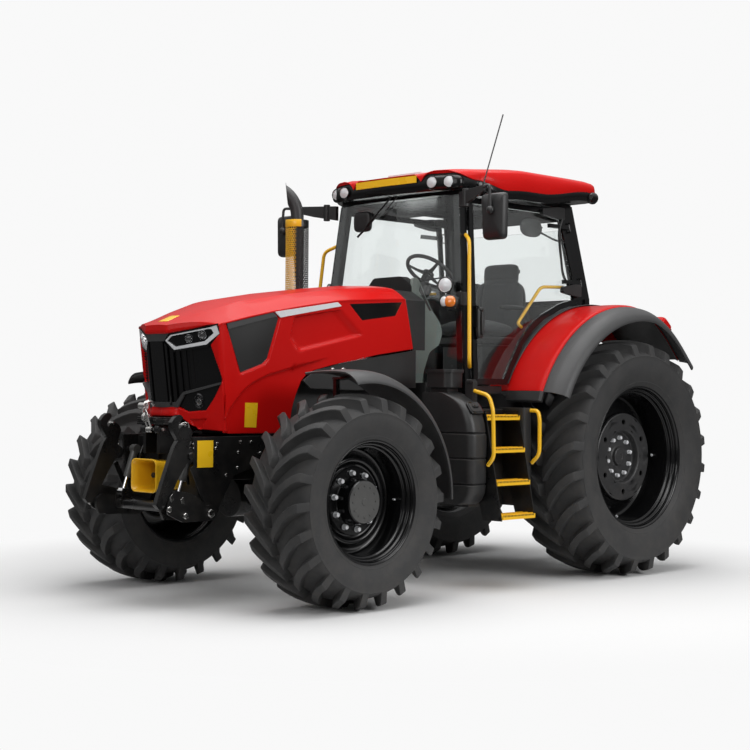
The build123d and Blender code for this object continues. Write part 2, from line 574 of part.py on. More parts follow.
barrel = rod(on_cylinder(0), on_cylinder(200), 26) - rod(on_cylinder(35), on_cylinder(188), 21)
barrel -= rod(on_cylinder(180), on_cylinder(210), 12.05)
barrel += rod((CYLINDER_X - 26, *CYLINDER_TOP), (CYLINDER_X + 26, *CYLINDER_TOP), 30)
piston_rod = rod(on_cylinder(55), on_cylinder(75), 20.95) + rod(on_cylinder(60), on_cylinder(cyl_length - 21), 12)
eye = rod((CYLINDER_X - 28, *CYLINDER_EYE), (CYLINDER_X + 28, *CYLINDER_EYE), 28)
eye -= rod((CYLINDER_X - 30, *CYLINDER_EYE), (CYLINDER_X + 30, *CYLINDER_EYE), 16.5)
save("front_cylinder_barrels", *both(barrel))
save("front_cylinder_rods", *both(piston_rod + eye))

# ---- rear linkage -------------------------------------------------------------------------
arm_end = (ROCKSHAFT[0] + LIFT_ARM[0], ROCKSHAFT[1] + LIFT_ARM[1])
link_mid = (LINK_PIVOT[0] + LIFT_ARM[0], LINK_PIVOT[1] + LIFT_ARM[1])
link_slope = LIFT_ARM[1] / LIFT_ARM[0]
link_end = (LINK_END_Y, LINK_PIVOT[1] + link_slope * (LINK_END_Y - LINK_PIVOT[0]))
rear_frame = block(-90, 90, 302, 345, 900, 1200)
rear_frame += plate_yz([(300, 1080), (420, 1080), (420, 1180), (300, 1180)], 30, 45)
rear_frame += plate_yz([(300, 1080), (420, 1080), (420, 1180), (300, 1180)], -45, -30)
rear_frame -= rod((-60, 385, 1130), (60, 385, 1130), 12.75)
for sign in (1, -1):
    ear = plate_yz([(200, 560), (302, 560), (302, 680), (200, 680)], 262, 285)
    rear_frame += on_side(ear, sign)
    rear_frame += on_side(rod((262, *LINK_PIVOT), (330, *LINK_PIVOT), 14), sign)
bar_carrier = block(-70, 70, 302, 420, 420, 590) + block(-95, 95, 302, 345, 420, 590)
bar_carrier += block(-95, -70, 302, 345, 420, 1000) + block(70, 95, 302, 345, 420, 1000)
drawbar = block(-50, 50, 100, 930, 370, 420) + block(-60, 60, 100, 420, 420, 440)
drawbar -= rod((0, 880, 360), (0, 880, 430), 16)
save("rear_hitch_frame", rear_frame + bar_carrier + drawbar)

lift_arm = plate_yz(
    [
        (ROCKSHAFT[0] - 45, ROCKSHAFT[1] + 20),
        (ROCKSHAFT[0], ROCKSHAFT[1] + 50),
        (arm_end[0] + 25, arm_end[1] + 25),
        (arm_end[0] + 25, arm_end[1] - 25),
        (ROCKSHAFT[0], ROCKSHAFT[1] - 45),
        (ROCKSHAFT[0] - 45, ROCKSHAFT[1] - 20),
    ],
    275,
    300,
)
lift_arm -= rod((270, *ROCKSHAFT), (310, *ROCKSHAFT), 30.05)
lift_arm += rod((300, *arm_end), (345, *arm_end), 12)
rear_lift = both(lift_arm)
save("rear_lift_arms", *rear_lift)

strut_top = (322, arm_end[0], arm_end[1])
strut_low = (372, link_mid[0], link_mid[1] + 45)
strut = rod(strut_top, strut_low, 15) + rod((304, *arm_end), (340, *arm_end), 26)
strut -= rod((290, *arm_end), (350, *arm_end), 12.05)
save("lift_rods", *both(strut))

lower = rod((358, *LINK_PIVOT), (430, *link_end), 24) + rod((290, *LINK_PIVOT), (352, *LINK_PIVOT), 38)
lower += rod((320, *LINK_PIVOT), (360, *LINK_PIVOT), 24)
# the eye stands square to its link, which runs outwards to the rear
LINK_SPLAY = radians(5.0)
EYE_X = 430.5


def on_eye(distance):
    """A point of the eye's axis, at a distance outwards from its middle."""
    return (EYE_X + distance * cos(LINK_SPLAY), link_end[0] - distance * sin(LINK_SPLAY), link_end[1])


lower += rod(on_eye(-25), on_eye(25), 45)
lower -= rod(on_eye(-32), on_eye(32), 18.6)
lower -= rod((280, *LINK_PIVOT), (332, *LINK_PIVOT), 14.05)
for side, sign in SIDES:
    save(f"lower_link_{side}", on_side(lower, sign))
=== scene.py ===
import bmesh
import bpy
import json
import math
import numpy as np
from mathutils import Matrix, Vector

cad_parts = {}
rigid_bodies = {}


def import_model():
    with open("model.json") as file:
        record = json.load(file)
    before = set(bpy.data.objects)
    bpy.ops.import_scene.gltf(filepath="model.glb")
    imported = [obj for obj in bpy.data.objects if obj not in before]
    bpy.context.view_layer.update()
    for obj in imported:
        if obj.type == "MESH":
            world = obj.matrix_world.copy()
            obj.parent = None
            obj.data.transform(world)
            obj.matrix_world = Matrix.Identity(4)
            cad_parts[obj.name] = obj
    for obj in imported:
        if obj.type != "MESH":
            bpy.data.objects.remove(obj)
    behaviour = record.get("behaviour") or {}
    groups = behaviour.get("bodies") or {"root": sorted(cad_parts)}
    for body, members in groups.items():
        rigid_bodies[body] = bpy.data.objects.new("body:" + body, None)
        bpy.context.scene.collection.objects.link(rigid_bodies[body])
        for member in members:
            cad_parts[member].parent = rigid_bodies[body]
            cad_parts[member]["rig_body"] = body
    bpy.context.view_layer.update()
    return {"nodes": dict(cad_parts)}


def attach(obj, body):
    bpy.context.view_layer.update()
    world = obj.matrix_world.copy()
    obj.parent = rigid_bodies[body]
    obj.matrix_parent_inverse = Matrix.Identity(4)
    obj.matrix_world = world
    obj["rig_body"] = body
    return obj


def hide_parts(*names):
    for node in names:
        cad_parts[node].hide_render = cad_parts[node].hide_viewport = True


# Farm tractor: its outside and cab, built round the CAD frame. Metres, X to the tractor's left,
# Y to its rear, Z up. Places are given from the middle of the rear axle, on the ground, and
# piece() moves them by AXLE_Y, where the CAD frame has that axle.
AXLE_Y = 1.43

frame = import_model()


# ---- surfaces ----
class Form:
    """Points (n, 3), every face's corners in one run, each face's number of corners, and each
    face's finish number."""

    def __init__(self, points, corners, sizes, finish=0):
        self.points = np.asarray(points, float).reshape(-1, 3)
        self.corners = np.asarray(corners, int).ravel()
        self.sizes = np.asarray(sizes, int).ravel()
        self.finish = np.broadcast_to(np.asarray(finish, int), self.sizes.shape).copy()


def surface(points, round_u=False, round_v=False, caps=False, finish=0):
    """A grid of points p(u, v), rows u and columns v, with a face between each four neighbours.
    round_u and round_v join the last to the first; caps closes the first and last row."""
    points = np.asarray(points, float)
    rows, columns = points.shape[:2]
    number = np.arange(rows * columns).reshape(rows, columns)
    ends = np.concatenate([number[0], number[-1][::-1]])
    if round_u:
        number = np.vstack([number, number[:1]])
    if round_v:
        number = np.hstack([number, number[:, :1]])
    quads = np.stack([number[:-1, :-1], number[1:, :-1], number[1:, 1:], number[:-1, 1:]], axis=-1)
    corners = quads.ravel()
    sizes = np.full(quads.size // 4, 4)
    if caps:
        corners = np.concatenate([corners, ends])
        sizes = np.concatenate([sizes, [columns, columns]])
    return Form(points, corners, sizes, finish)


def join(*forms):
    """Several forms as one, their corner numbers moved up by the points before them."""
    flat = [f for form in forms for f in (form if isinstance(form, (list, tuple)) else [form])]
    starts = np.cumsum([0] + [len(f.points) for f in flat[:-1]])
    return Form(
        np.concatenate([f.points for f in flat]),
        np.concatenate([f.corners + s for f, s in zip(flat, starts)]),
        np.concatenate([f.sizes for f in flat]),
        np.concatenate([f.finish for f in flat]),
    )


def changed(form, matrix=None, move=(0, 0, 0), finish=None):
    """The form with p' = M p + move, and all its finishes set to one if that is given."""
    points = form.points if matrix is None else form.points @ np.asarray(matrix, float).T
    new = Form(points + np.asarray(move, float), form.corners, form.sizes, form.finish)
    if finish is not None:
        new.finish[:] = finish
    return new


def flipped(form):
    """The form's twin on the other side, x' = -x."""
    return changed(form, np.diag([-1.0, 1.0, 1.0]))


def both(form):
    """The form and its twin."""
    return join(form, flipped(form))


def turn_about(axis, angle):
    """The 3 x 3 turn by an angle in degrees about an axis."""
    return np.array(Matrix.Rotation(math.radians(angle), 3, Vector(axis)))


def copies(form, moves):
    """The form once at each of the moves (n, 3)."""
    return join(*[changed(form, move=m) for m in np.asarray(moves, float)])


def turned(profile, centre=(0, 0, 0), axis="x", steps=72, closed=False, finish=0):
    """A profile of (a, r) carried round an axis: p = c + a e + r (cos t f + sin t g)."""
    a, r = np.asarray(profile, float).T
    t = np.arange(steps) * 2 * math.pi / steps
    along = np.repeat(a[:, None], steps, 1)
    one = r[:, None] * np.cos(t)
    two = r[:, None] * np.sin(t)
    order = {"x": (along, one, two), "y": (two, along, one), "z": (one, two, along)}[axis]
    points = np.stack(order, axis=-1) + np.asarray(centre, float)
    return surface(points, round_u=closed, round_v=True, finish=finish)


def frame_of(direction):
    """Two unit vectors square to a direction and to each other."""
    d = np.asarray(direction, float)
    d = d / np.linalg.norm(d)
    helper = np.eye(3)[np.argmin(np.abs(d))]
    one = np.cross(d, helper)
    one /= np.linalg.norm(one)
    return d, one, np.cross(d, one)


def rod(start, end, radius, steps=20, finish=0):
    """A round bar between two points, p = s + a d + r (cos t n + sin t m). Each rim comes twice,
    once for the end and once for the side, and piece() merges the two."""
    start, end = np.asarray(start, float), np.asarray(end, float)
    d, n, m = frame_of(end - start)
    long = np.linalg.norm(end - start)
    rim, far_rim = (0, radius), (long, radius)
    a, r = np.array([(0, 0), rim, rim, far_rim, far_rim, (long, 0)]).T
    t = np.arange(steps) * 2 * math.pi / steps
    points = start + a[:, None, None] * d + r[:, None, None] * (
        np.cos(t)[:, None] * n + np.sin(t)[:, None] * m
    )
    return surface(points, round_v=True, finish=finish)


def rounded_path(corners, bend, steps=6):
    """A line of straight runs whose corners are eased by arcs q = (1-t)^2 a + 2t(1-t) b + t^2 c."""
    corners = np.asarray(corners, float)
    out = [corners[:1]]
    t = np.linspace(0, 1, steps + 1)[:, None]
    for before, corner, after in zip(corners[:-2], corners[1:-1], corners[2:]):
        back, ahead = before - corner, after - corner
        reach = min(bend, 0.49 * np.linalg.norm(back), 0.49 * np.linalg.norm(ahead))
        a = corner + back / np.linalg.norm(back) * reach
        c = corner + ahead / np.linalg.norm(ahead) * reach
        out.append((1 - t) ** 2 * a + 2 * t * (1 - t) * corner + t**2 * c)
    out.append(corners[-1:])
    return np.concatenate(out)


def tube(corners, radius, bend=0.03, steps=14, arc_steps=6, finish=0):
    """A round section carried along an eased line, p = q(s) + r (cos t n + sin t m)."""
    path = rounded_path(corners, bend, arc_steps)
    tangent = np.gradient(path, axis=0)
    tangent /= np.linalg.norm(tangent, axis=1)[:, None]
    helper = np.eye(3)[np.argmin(np.abs(tangent).max(0))]
    one = np.cross(tangent, helper)
    one /= np.linalg.norm(one, axis=1)[:, None]
    two = np.cross(tangent, one)
    t = np.arange(steps) * 2 * math.pi / steps
    ring = np.cos(t)[None, :, None] * one[:, None] + np.sin(t)[None, :, None] * two[:, None]
    return surface(path[:, None] + radius * ring, round_v=True, caps=True, finish=finish)


def prism(outline, plane, low, high, finish=0):
    """An outline of corners carried straight from low to high, across the plane it is drawn in:
    p = (u, v) in the plane's axes and s along the third."""
    outline = np.asarray(outline, float)
    u, v = np.repeat(outline[None], 2, 0).transpose(2, 0, 1)
    s = np.repeat(np.array([low, high], float)[:, None], len(outline), 1)
    order = {"yz": (s, u, v), "xz": (u, s, v), "xy": (u, v, s)}[plane]
    return surface(np.stack(order, axis=-1), round_v=True, caps=True, finish=finish)


def block(x0, x1, y0, y1, z0, z1, finish=0):
    """A straight-sided box between its limits."""
    return prism([(x0, y0), (x1, y0), (x1, y1), (x0, y1)], "xy", z0, z1, finish)


def soft_outline(corners, radius, steps=4):
    """A closed outline whose corners are eased, each by an arc of about that radius."""
    corners = np.asarray(corners, float)
    ring = np.concatenate([corners[-1:], corners, corners[:1]])
    t = np.linspace(0, 1, steps + 1)[:, None]
    out = []
    for before, corner, after in zip(ring[:-2], ring[1:-1], ring[2:]):
        back, ahead = before - corner, after - corner
        reach = min(radius, 0.48 * np.linalg.norm(back), 0.48 * np.linalg.norm(ahead))
        a = corner + back / np.linalg.norm(back) * reach
        c = corner + ahead / np.linalg.norm(ahead) * reach
        out.append((1 - t) ** 2 * a + 2 * t * (1 - t) * corner + t**2 * c)
    return np.concatenate(out)


def lofted(sections):
    """Closed sections with equal numbers of points, joined one to the next and closed at the ends."""
    return surface(sections, round_v=True, caps=True)


def bolt(place, direction, size, height, washer=0.0, finish=0):
    """A hexagon head of that width across, standing on a washer."""
    place = np.asarray(place, float)
    d, n, m = frame_of(direction)
    t = np.arange(6) * math.pi / 3
    ring = np.cos(t)[:, None] * n + np.sin(t)[:, None] * m
    rows = np.array([(0.0, 0.5), (0.82, 0.5), (1.0, 0.42)]) * [height, size * 1.155]
    points = place + rows[:, :1, None] * d + rows[:, 1:, None] * ring
    head = surface(points, round_v=True, caps=True, finish=finish)
    if not washer:
        return head
    under = rod(place - d * 0.002, place + d * 0.003, washer / 2, steps=14, finish=finish)
    return join(under, changed(head, move=d * 0.003))


def circle_places(x, radius, count, first=0.0):
    """Places round the x axis: (x, r sin a, r cos a)."""
    angles = np.arange(count) * 2 * math.pi / count + first
    return [(x, radius * math.sin(a), radius * math.cos(a)) for a in angles]


def bolts(places, direction, size=0.02, height=0.012, washer=0.0, finish=0):
    """The same bolt at each place."""
    one = bolt((0, 0, 0), direction, size, height, washer, finish)
    return copies(one, places)


def piece(
    name, body, form, finishes, replaces=(), slot=None, bevel=0.0, wall=0.0, sharp=34.0, smooth=0, merge=1e-5,
    flat=0.0
):
    """The form as a mesh object that rides on a CAD body: its doubles merged, its faces turned
    outwards, and its edges sharp where faces meet at more than that many degrees."""
    mesh = bpy.data.meshes.new(name)
    faces = np.split(form.corners, np.cumsum(form.sizes)[:-1])
    mesh.from_pydata((form.points + [0, AXLE_Y, 0]).tolist(), [], [f.tolist() for f in faces])
    finishes = finishes if isinstance(finishes, (list, tuple)) else [finishes]
    for f in finishes:
        mesh.materials.append(f)
    mesh.polygons.foreach_set("material_index", form.finish.astype(np.int32))
    work = bmesh.new()
    work.from_mesh(mesh)
    bmesh.ops.remove_doubles(work, verts=work.verts, dist=merge)
    bmesh.ops.dissolve_degenerate(work, edges=work.edges, dist=1e-6)
    if flat:
        bmesh.ops.dissolve_limit(work, angle_limit=math.radians(flat), verts=work.verts, edges=work.edges)
    bmesh.ops.recalc_face_normals(work, faces=work.faces)
    work.to_mesh(mesh)
    work.free()
    mesh.polygons.foreach_set("use_smooth", np.ones(len(mesh.polygons), bool))
    mesh.set_sharp_from_angle(angle=math.radians(sharp))
    made = bpy.data.objects.new(name, mesh)
    bpy.context.scene.collection.objects.link(made)
    if wall:
        thick = made.modifiers.new("wall", "SOLIDIFY")
        thick.thickness, thick.offset = wall, -1
    if smooth:
        rounder = made.modifiers.new("rounder", "SUBSURF")
        rounder.levels = rounder.render_levels = smooth
    if bevel:
        edge = made.modifiers.new("edges", "BEVEL")
        edge.width, edge.segments, edge.limit_method = bevel, 2, "ANGLE"
        edge.angle_limit = math.radians(sharp)
        edge.harden_normals = True
    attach(made, body)
    if replaces:
        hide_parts(*([replaces] if isinstance(replaces, str) else replaces))
    return made


def pair(name, body, form, finishes, replaces="", slot=None, **settings):
    """The form and its twin on the other side; {} in a name stands for left or right."""
    for side, shape in (("left", form), ("right", flipped(form))):
        piece(name.format(side), body.format(side), shape, finishes, replaces.format(side), slot, **settings)


# ---- finishes ----
def node_group(name, inputs, outputs):
    """An empty shader group with named sockets, and its input and output nodes."""
    group = bpy.data.node_groups.new(name, "ShaderNodeTree")
    for label, kind, value in inputs:
        socket = group.interface.new_socket(label, in_out="INPUT", socket_type=kind)
        if value is not None:
            socket.default_value = value
    for label, kind in outputs:
        group.interface.new_socket(label, in_out="OUTPUT", socket_type=kind)
    return group, group.nodes.new("NodeGroupInput"), group.nodes.new("NodeGroupOutput")


def add(tree, kind, **values):
    """A node with its own settings, and the values of its named or numbered inputs."""
    node = tree.nodes.new(kind)
    for key, value in values.items():
        if key.startswith("in_"):
            label = key[3:].replace("_", " ")
            node.inputs[int(label) if label.isdigit() else label].default_value = value
        else:
            setattr(node, key, value)
    return node


def make_grain_group():
    """Moulded or sprayed texture: fine noise over coarser noise, as a height and a mask."""
    group, start, end = node_group(
        "surface_grain",
        [("Grain size", "NodeSocketFloat", 0.002), ("Patch size", "NodeSocketFloat", 0.3)],
        [("Height", "NodeSocketFloat"), ("Patches", "NodeSocketFloat")],
    )
    place = add(group, "ShaderNodeTexCoord")
    fine = add(group, "ShaderNodeTexNoise", in_Detail=3.0, in_Roughness=0.6)
    broad = add(group, "ShaderNodeTexNoise", in_Detail=4.0, in_Roughness=0.55)
    link = group.links.new
    for size, noise in (("Grain size", fine), ("Patch size", broad)):
        scale = add(group, "ShaderNodeMath", operation="DIVIDE", in_0=1.0)
        link(start.outputs[size], scale.inputs[1])
        link(scale.outputs[0], noise.inputs["Scale"])
        link(place.outputs["Object"], noise.inputs["Vector"])
    link(fine.outputs["Fac"], end.inputs["Height"])
    link(broad.outputs["Fac"], end.inputs["Patches"])
    return group


def make_dust_group():
    """Road dust: thicker near the ground, broken by noise."""
    group, start, end = node_group(
        "road_dust",
        [("Amount", "NodeSocketFloat", 0.3), ("Top of dust", "NodeSocketFloat", 1.2)],
        [("Dust", "NodeSocketFloat")],
    )
    link = group.links.new
    place = add(group, "ShaderNodeTexCoord")
    parts = add(group, "ShaderNodeSeparateXYZ")
    link(place.outputs["Object"], parts.inputs[0])
    low = add(group, "ShaderNodeMapRange", in_1=0.0, in_3=1.0, in_4=0.15)
    link(parts.outputs["Z"], low.inputs["Value"])
    link(start.outputs["Top of dust"], low.inputs[2])
    noise = add(group, "ShaderNodeTexNoise", in_Scale=9.0, in_Detail=6.0, in_Roughness=0.7)
    link(place.outputs["Object"], noise.inputs["Vector"])
    shape = add(group, "ShaderNodeMapRange", in_1=0.42, in_2=0.75)
    link(noise.outputs["Fac"], shape.inputs["Value"])
    both_ways = add(group, "ShaderNodeMath", operation="MULTIPLY")
    link(low.outputs[0], both_ways.inputs[0])
    link(shape.outputs[0], both_ways.inputs[1])
    level = add(group, "ShaderNodeMath", operation="MULTIPLY")
    link(both_ways.outputs[0], level.inputs[0])
    link(start.outputs["Amount"], level.inputs[1])
    link(level.outputs[0], end.inputs["Dust"])
    return group


GRAIN = make_grain_group()
DUST = make_dust_group()
DUST_COLOUR = (0.23, 0.2, 0.17, 1)


def place_group(tree, group, **values):
    """A group placed in a material with its own values."""
    node = tree.nodes.new("ShaderNodeGroup")
    node.node_tree = group
    for key, value in values.items():
        node.inputs[key.replace("_", " ")].default_value = value
    return node


def finish(name, colour, rough, metal=0.0, vary=0.12, rough_vary=0.08, grain=0.002, depth=0.0, patch=0.3,
           dust=0.0, dust_top=1.2, coat=0.0, coat_rough=0.05, specular=0.5, sheen=0.0):
    """A painted, moulded or metal finish: the colour varies in patches, the gloss with it, the
    grain stands as a bump, and dust lies low down."""
    made = bpy.data.materials.new(name)
    made.use_nodes = True
    tree = made.node_tree
    link = tree.links.new
    shader = tree.nodes["Principled BSDF"]
    grains = place_group(tree, GRAIN, Grain_size=grain, Patch_size=patch)
    shade = add(tree, "ShaderNodeMix", data_type="RGBA")
    shade.inputs["A"].default_value = (*[c * (1 - vary) for c in colour], 1)
    shade.inputs["B"].default_value = (*[min(1, c * (1 + vary)) for c in colour], 1)
    link(grains.outputs["Patches"], shade.inputs["Factor"])
    gloss = add(
        tree, "ShaderNodeMapRange", in_1=0.3, in_2=0.7, in_3=rough - rough_vary, in_4=rough + rough_vary)
    link(grains.outputs["Patches"], gloss.inputs["Value"])
    colour_out, gloss_out = shade.outputs["Result"], gloss.outputs[0]
    if dust:
        dusty = place_group(tree, DUST, Amount=dust, Top_of_dust=dust_top)
        over = add(tree, "ShaderNodeMix", data_type="RGBA")
        over.inputs["B"].default_value = DUST_COLOUR
        link(dusty.outputs[0], over.inputs["Factor"])
        link(colour_out, over.inputs["A"])
        dull = add(tree, "ShaderNodeMix", data_type="FLOAT")
        dull.inputs["B"].default_value = 0.9
        link(dusty.outputs[0], dull.inputs["Factor"])
        link(gloss_out, dull.inputs["A"])
        colour_out, gloss_out = over.outputs["Result"], dull.outputs["Result"]
    link(colour_out, shader.inputs["Base Color"])
    link(gloss_out, shader.inputs["Roughness"])
    shader.inputs["Metallic"].default_value = metal
    shader.inputs["Coat Weight"].default_value = coat
    shader.inputs["Coat Roughness"].default_value = coat_rough
    shader.inputs["Specular IOR Level"].default_value = specular
    if sheen:
        shader.inputs["Sheen Weight"].default_value = sheen
    if depth:
        bump = add(tree, "ShaderNodeBump", in_Strength=1.0, in_Distance=depth)
        link(grains.outputs["Height"], bump.inputs["Height"])
        link(bump.outputs[0], shader.inputs["Normal"])
    return made


def clear_finish(name, colour, rough=0.02):
    """Clear glass or plastic, faintly uneven in its gloss."""
    made = finish(name, colour, rough, vary=0.01, rough_vary=rough * 0.5, patch=0.5)
    shader = made.node_tree.nodes["Principled BSDF"]
    shader.inputs["Transmission Weight"].default_value = 1.0
    shader.inputs["IOR"].default_value = 1.45
    return made


RED = finish("red_paint_gloss", (0.6, 0.007, 0.006), 0.32, vary=0.04, rough_vary=0.03, grain=0.004,
             depth=0.00002, coat=0.09, coat_rough=0.05, specular=0.1)
PLASTIC = finish("moulded_black", (0.019, 0.019, 0.0195), 0.42, grain=0.0016, depth=0.00012, dust=0.12)
GREY_PLASTIC = finish(
    "moulded_charcoal", (0.046, 0.046, 0.047), 0.5, vary=0.08, grain=0.0014, depth=0.0001, dust=0.1)
GLOSS_BLACK = finish(
    "gloss_black", (0.005, 0.005, 0.0054), 0.2, rough_vary=0.05, coat=0.2, specular=0.3, grain=0.004,
    depth=0.00001)
STEEL_BLACK = finish("black_painted_steel", (0.007, 0.007, 0.0073), 0.3, rough_vary=0.1, grain=0.003,
                     depth=0.00004, dust=0.16)
CHARCOAL = finish(
    "charcoal_paint", (0.03, 0.03, 0.031), 0.4, rough_vary=0.08, grain=0.003, depth=0.00003, dust=0.12)
HUB_GREY = finish(
    "hub_grey", (0.075, 0.075, 0.073), 0.42, rough_vary=0.08, grain=0.004, depth=0.00004, dust=0.1)
RUBBER = finish("tyre_rubber", (0.04, 0.04, 0.0405), 0.66, vary=0.16, rough_vary=0.1, grain=0.0024,
                depth=0.00016, patch=0.22, dust=0.12, dust_top=2.2, specular=0.35)
BRIGHT = finish("bright_steel", (0.74, 0.73, 0.71), 0.24, metal=1.0, vary=0.06, rough_vary=0.1, grain=0.001,
                depth=0.00002, patch=0.02)
CHROME = finish(
    "polished_chrome", (0.86, 0.86, 0.87), 0.08, metal=1.0, vary=0.03, rough_vary=0.04, patch=0.08)
YELLOW = finish("yellow_paint", (0.96, 0.53, 0.014), 0.36, vary=0.06, rough_vary=0.07, grain=0.003,
                depth=0.00003, coat=0.3, dust=0.05)
STICKER = finish("yellow_film", (1.0, 0.59, 0.016), 0.3, vary=0.03, rough_vary=0.05)
SILVER = finish("silver_trim", (0.8, 0.81, 0.83), 0.3, vary=0.02, coat=0.6)
LAMP_WHITE = finish("lamp_glass", (0.72, 0.74, 0.76), 0.12, vary=0.1, rough_vary=0.04, patch=0.02, coat=1.0)
AMBER_GLASS = finish("amber_glass", (0.85, 0.22, 0.02), 0.14, vary=0.1, rough_vary=0.04, patch=0.02, coat=1.0)
MESH_BLACK = finish("black_mesh", (0.008, 0.008, 0.008), 0.45, grain=0.003, depth=0.0003)
DASH_GREY = finish("cab_trim_grey", (0.25, 0.28, 0.26), 0.55, vary=0.06, grain=0.0014, depth=0.0001)
SEAT = finish(
    "seat_cloth", (0.045, 0.047, 0.05), 0.82, vary=0.2, grain=0.0016, depth=0.0004, patch=0.06, sheen=0.3)
GLASS = clear_finish("window_glass", (0.93, 0.955, 0.95))
LENS = clear_finish("lamp_lens", (0.97, 0.97, 0.97), 0.03)
RED_LENS = clear_finish("tail_lens", (0.75, 0.02, 0.015), 0.08)
MIRROR = finish("mirror_glass", (0.9, 0.9, 0.9), 0.03, metal=1.0, vary=0.01, rough_vary=0.01)

# ---- wheels ----
# half of each tyre's section, columns: carcass x, carcass radius, tread bar x, tread bar radius;
# x is from the wheel's middle plane
FRONT_TREAD = (
    (0.0, 0.65, 0.0, 0.65), (0.01, 0.65, 0.01, 0.65), (0.016, 0.65, 0.021, 0.698),
    (0.02, 0.65, 0.026, 0.7035), (0.06, 0.648, 0.06, 0.705), (0.105, 0.643, 0.105, 0.703),
    (0.15, 0.635, 0.15, 0.699), (0.192, 0.625, 0.192, 0.692), (0.224, 0.614, 0.224, 0.683),
    (0.244, 0.605, 0.247, 0.6745), (0.25, 0.601, 0.2545, 0.6675), (0.266, 0.591, 0.2735, 0.594),
    (0.272, 0.584, 0.2745, 0.586))
FRONT_WALL = (
    (0.2758, 0.583), (0.2775, 0.5805), (0.2763, 0.577), (0.279, 0.56), (0.28, 0.535), (0.279, 0.51),
    (0.2745, 0.485), (0.2665, 0.46), (0.258, 0.44), (0.255, 0.433), (0.2555, 0.43), (0.2505, 0.423),
    (0.2455, 0.413), (0.24, 0.4), (0.225, 0.384))
REAR_TREAD = (
    (0.0, 0.862, 0.0, 0.862), (0.011, 0.862, 0.011, 0.862), (0.017, 0.862, 0.022, 0.914),
    (0.022, 0.862, 0.028, 0.92), (0.07, 0.86, 0.07, 0.922), (0.122, 0.855, 0.122, 0.92),
    (0.172, 0.847, 0.172, 0.915), (0.218, 0.837, 0.218, 0.907), (0.256, 0.825, 0.256, 0.897),
    (0.281, 0.815, 0.284, 0.887), (0.288, 0.811, 0.2925, 0.879), (0.307, 0.802, 0.3145, 0.806),
    (0.313, 0.795, 0.316, 0.797))
REAR_WALL = (
    (0.317, 0.795), (0.3187, 0.7925), (0.3175, 0.789), (0.3195, 0.765), (0.32, 0.735), (0.319, 0.7),
    (0.3145, 0.665), (0.3065, 0.635), (0.296, 0.608), (0.29, 0.596), (0.2905, 0.5925), (0.283, 0.582),
    (0.2725, 0.57), (0.262, 0.556), (0.24, 0.536))


def tyre(centre, tread, wall, bars, sweep, top_width, base_width):
    """A tyre with bars on both halves. Across it v runs over the section; round it u has twenty
    columns a pitch, ten for a bar of each half. On its own half a bar's columns lie at
    t = t0 + c(x)/r +- w(x)/r, with c = sweep (1 - x/X)^1.6, and there p = carcass + m (bar - carcass);
    the other half's columns share the gap evenly."""
    tread, wall = np.array(tread), np.array(wall)
    reach = tread[-1, 0]
    share = np.clip(tread[:, 0] / reach, 0, 1)
    lean = sweep * (1 - share) ** 1.6
    slope = 1.6 * sweep / reach * (1 - share) ** 0.6
    stretch = np.sqrt(1 + slope**2)
    flare = 1 + 0.1 * np.clip((share - 0.78) / 0.22, 0, 1)
    top = top_width / 2 * stretch * (1 + 0.12 * share)
    base = base_width / 2 * stretch * flare
    pitch = 2 * math.pi / bars
    half_gap = pitch / 2 * tread[:, 1]
    base = np.minimum(base, 0.86 * half_gap)
    top = np.minimum(top, 0.62 * half_gap)
    # columns of a bar: outer foot, inner foot, lower edge, upper edge, middle, and back
    off = np.stack(
        [-base * 1.1, -base, -top - 0.004, -top, -top * 0.4, top * 0.4, top, top + 0.004, base, base * 1.1], 1
    )
    rise = np.array([0, 0.07, 0.93, 1, 1, 1, 1, 0.93, 0.07, 0])
    own = (off + lean[:, None]) / tread[:, 1:2]
    last, first = own[:, -1:], own[:, :1] + pitch
    other = last + (first - last) * np.linspace(0.09, 0.91, 10)
    halves = []
    for sign in (-1, 1):
        if sign < 0:
            angle = np.concatenate([own, other], 1)
            height = np.concatenate([rise, np.zeros(10)])
        else:
            angle = np.concatenate([other - pitch, own], 1) + pitch / 2
            height = np.concatenate([np.zeros(10), rise])
        halves.append((sign, angle, height))
    # both halves share the middle row
    middle = (halves[0][1][0] + halves[1][1][0]) / 2
    rows, angles, radii = [], [], []
    for sign, angle, height in halves:
        angle = angle.copy()
        angle[0] = middle
        m = height[None, :]
        x = sign * (tread[:, :1] + m * (tread[:, 2:3] - tread[:, :1]))
        r = tread[:, 1:2] + m * (tread[:, 3:4] - tread[:, 1:2])
        side_angle = np.repeat(angle[-1:], len(wall), 0)
        side_x = sign * np.repeat(wall[:, :1], 20, 1)
        side_r = np.repeat(wall[:, 1:], 20, 1)
        parts = [np.concatenate(p) for p in ((x, side_x), (r, side_r), (angle, side_angle))]
        if sign < 0:
            parts = [p[:0:-1] for p in parts]
        rows.append(parts[0])
        radii.append(parts[1])
        angles.append(parts[2])
    x, r, angle = (np.concatenate(p) for p in (rows, radii, angles))
    turns = np.arange(bars) * pitch
    angle = (angle[:, None, :] + turns[None, :, None]).reshape(len(x), -1)
    x = np.tile(x, (1, bars))
    r = np.tile(r, (1, bars))
    points = np.stack([x, -r * np.sin(angle), r * np.cos(angle)], -1) + np.asarray(centre, float)
    return surface(points, round_u=True, round_v=True)


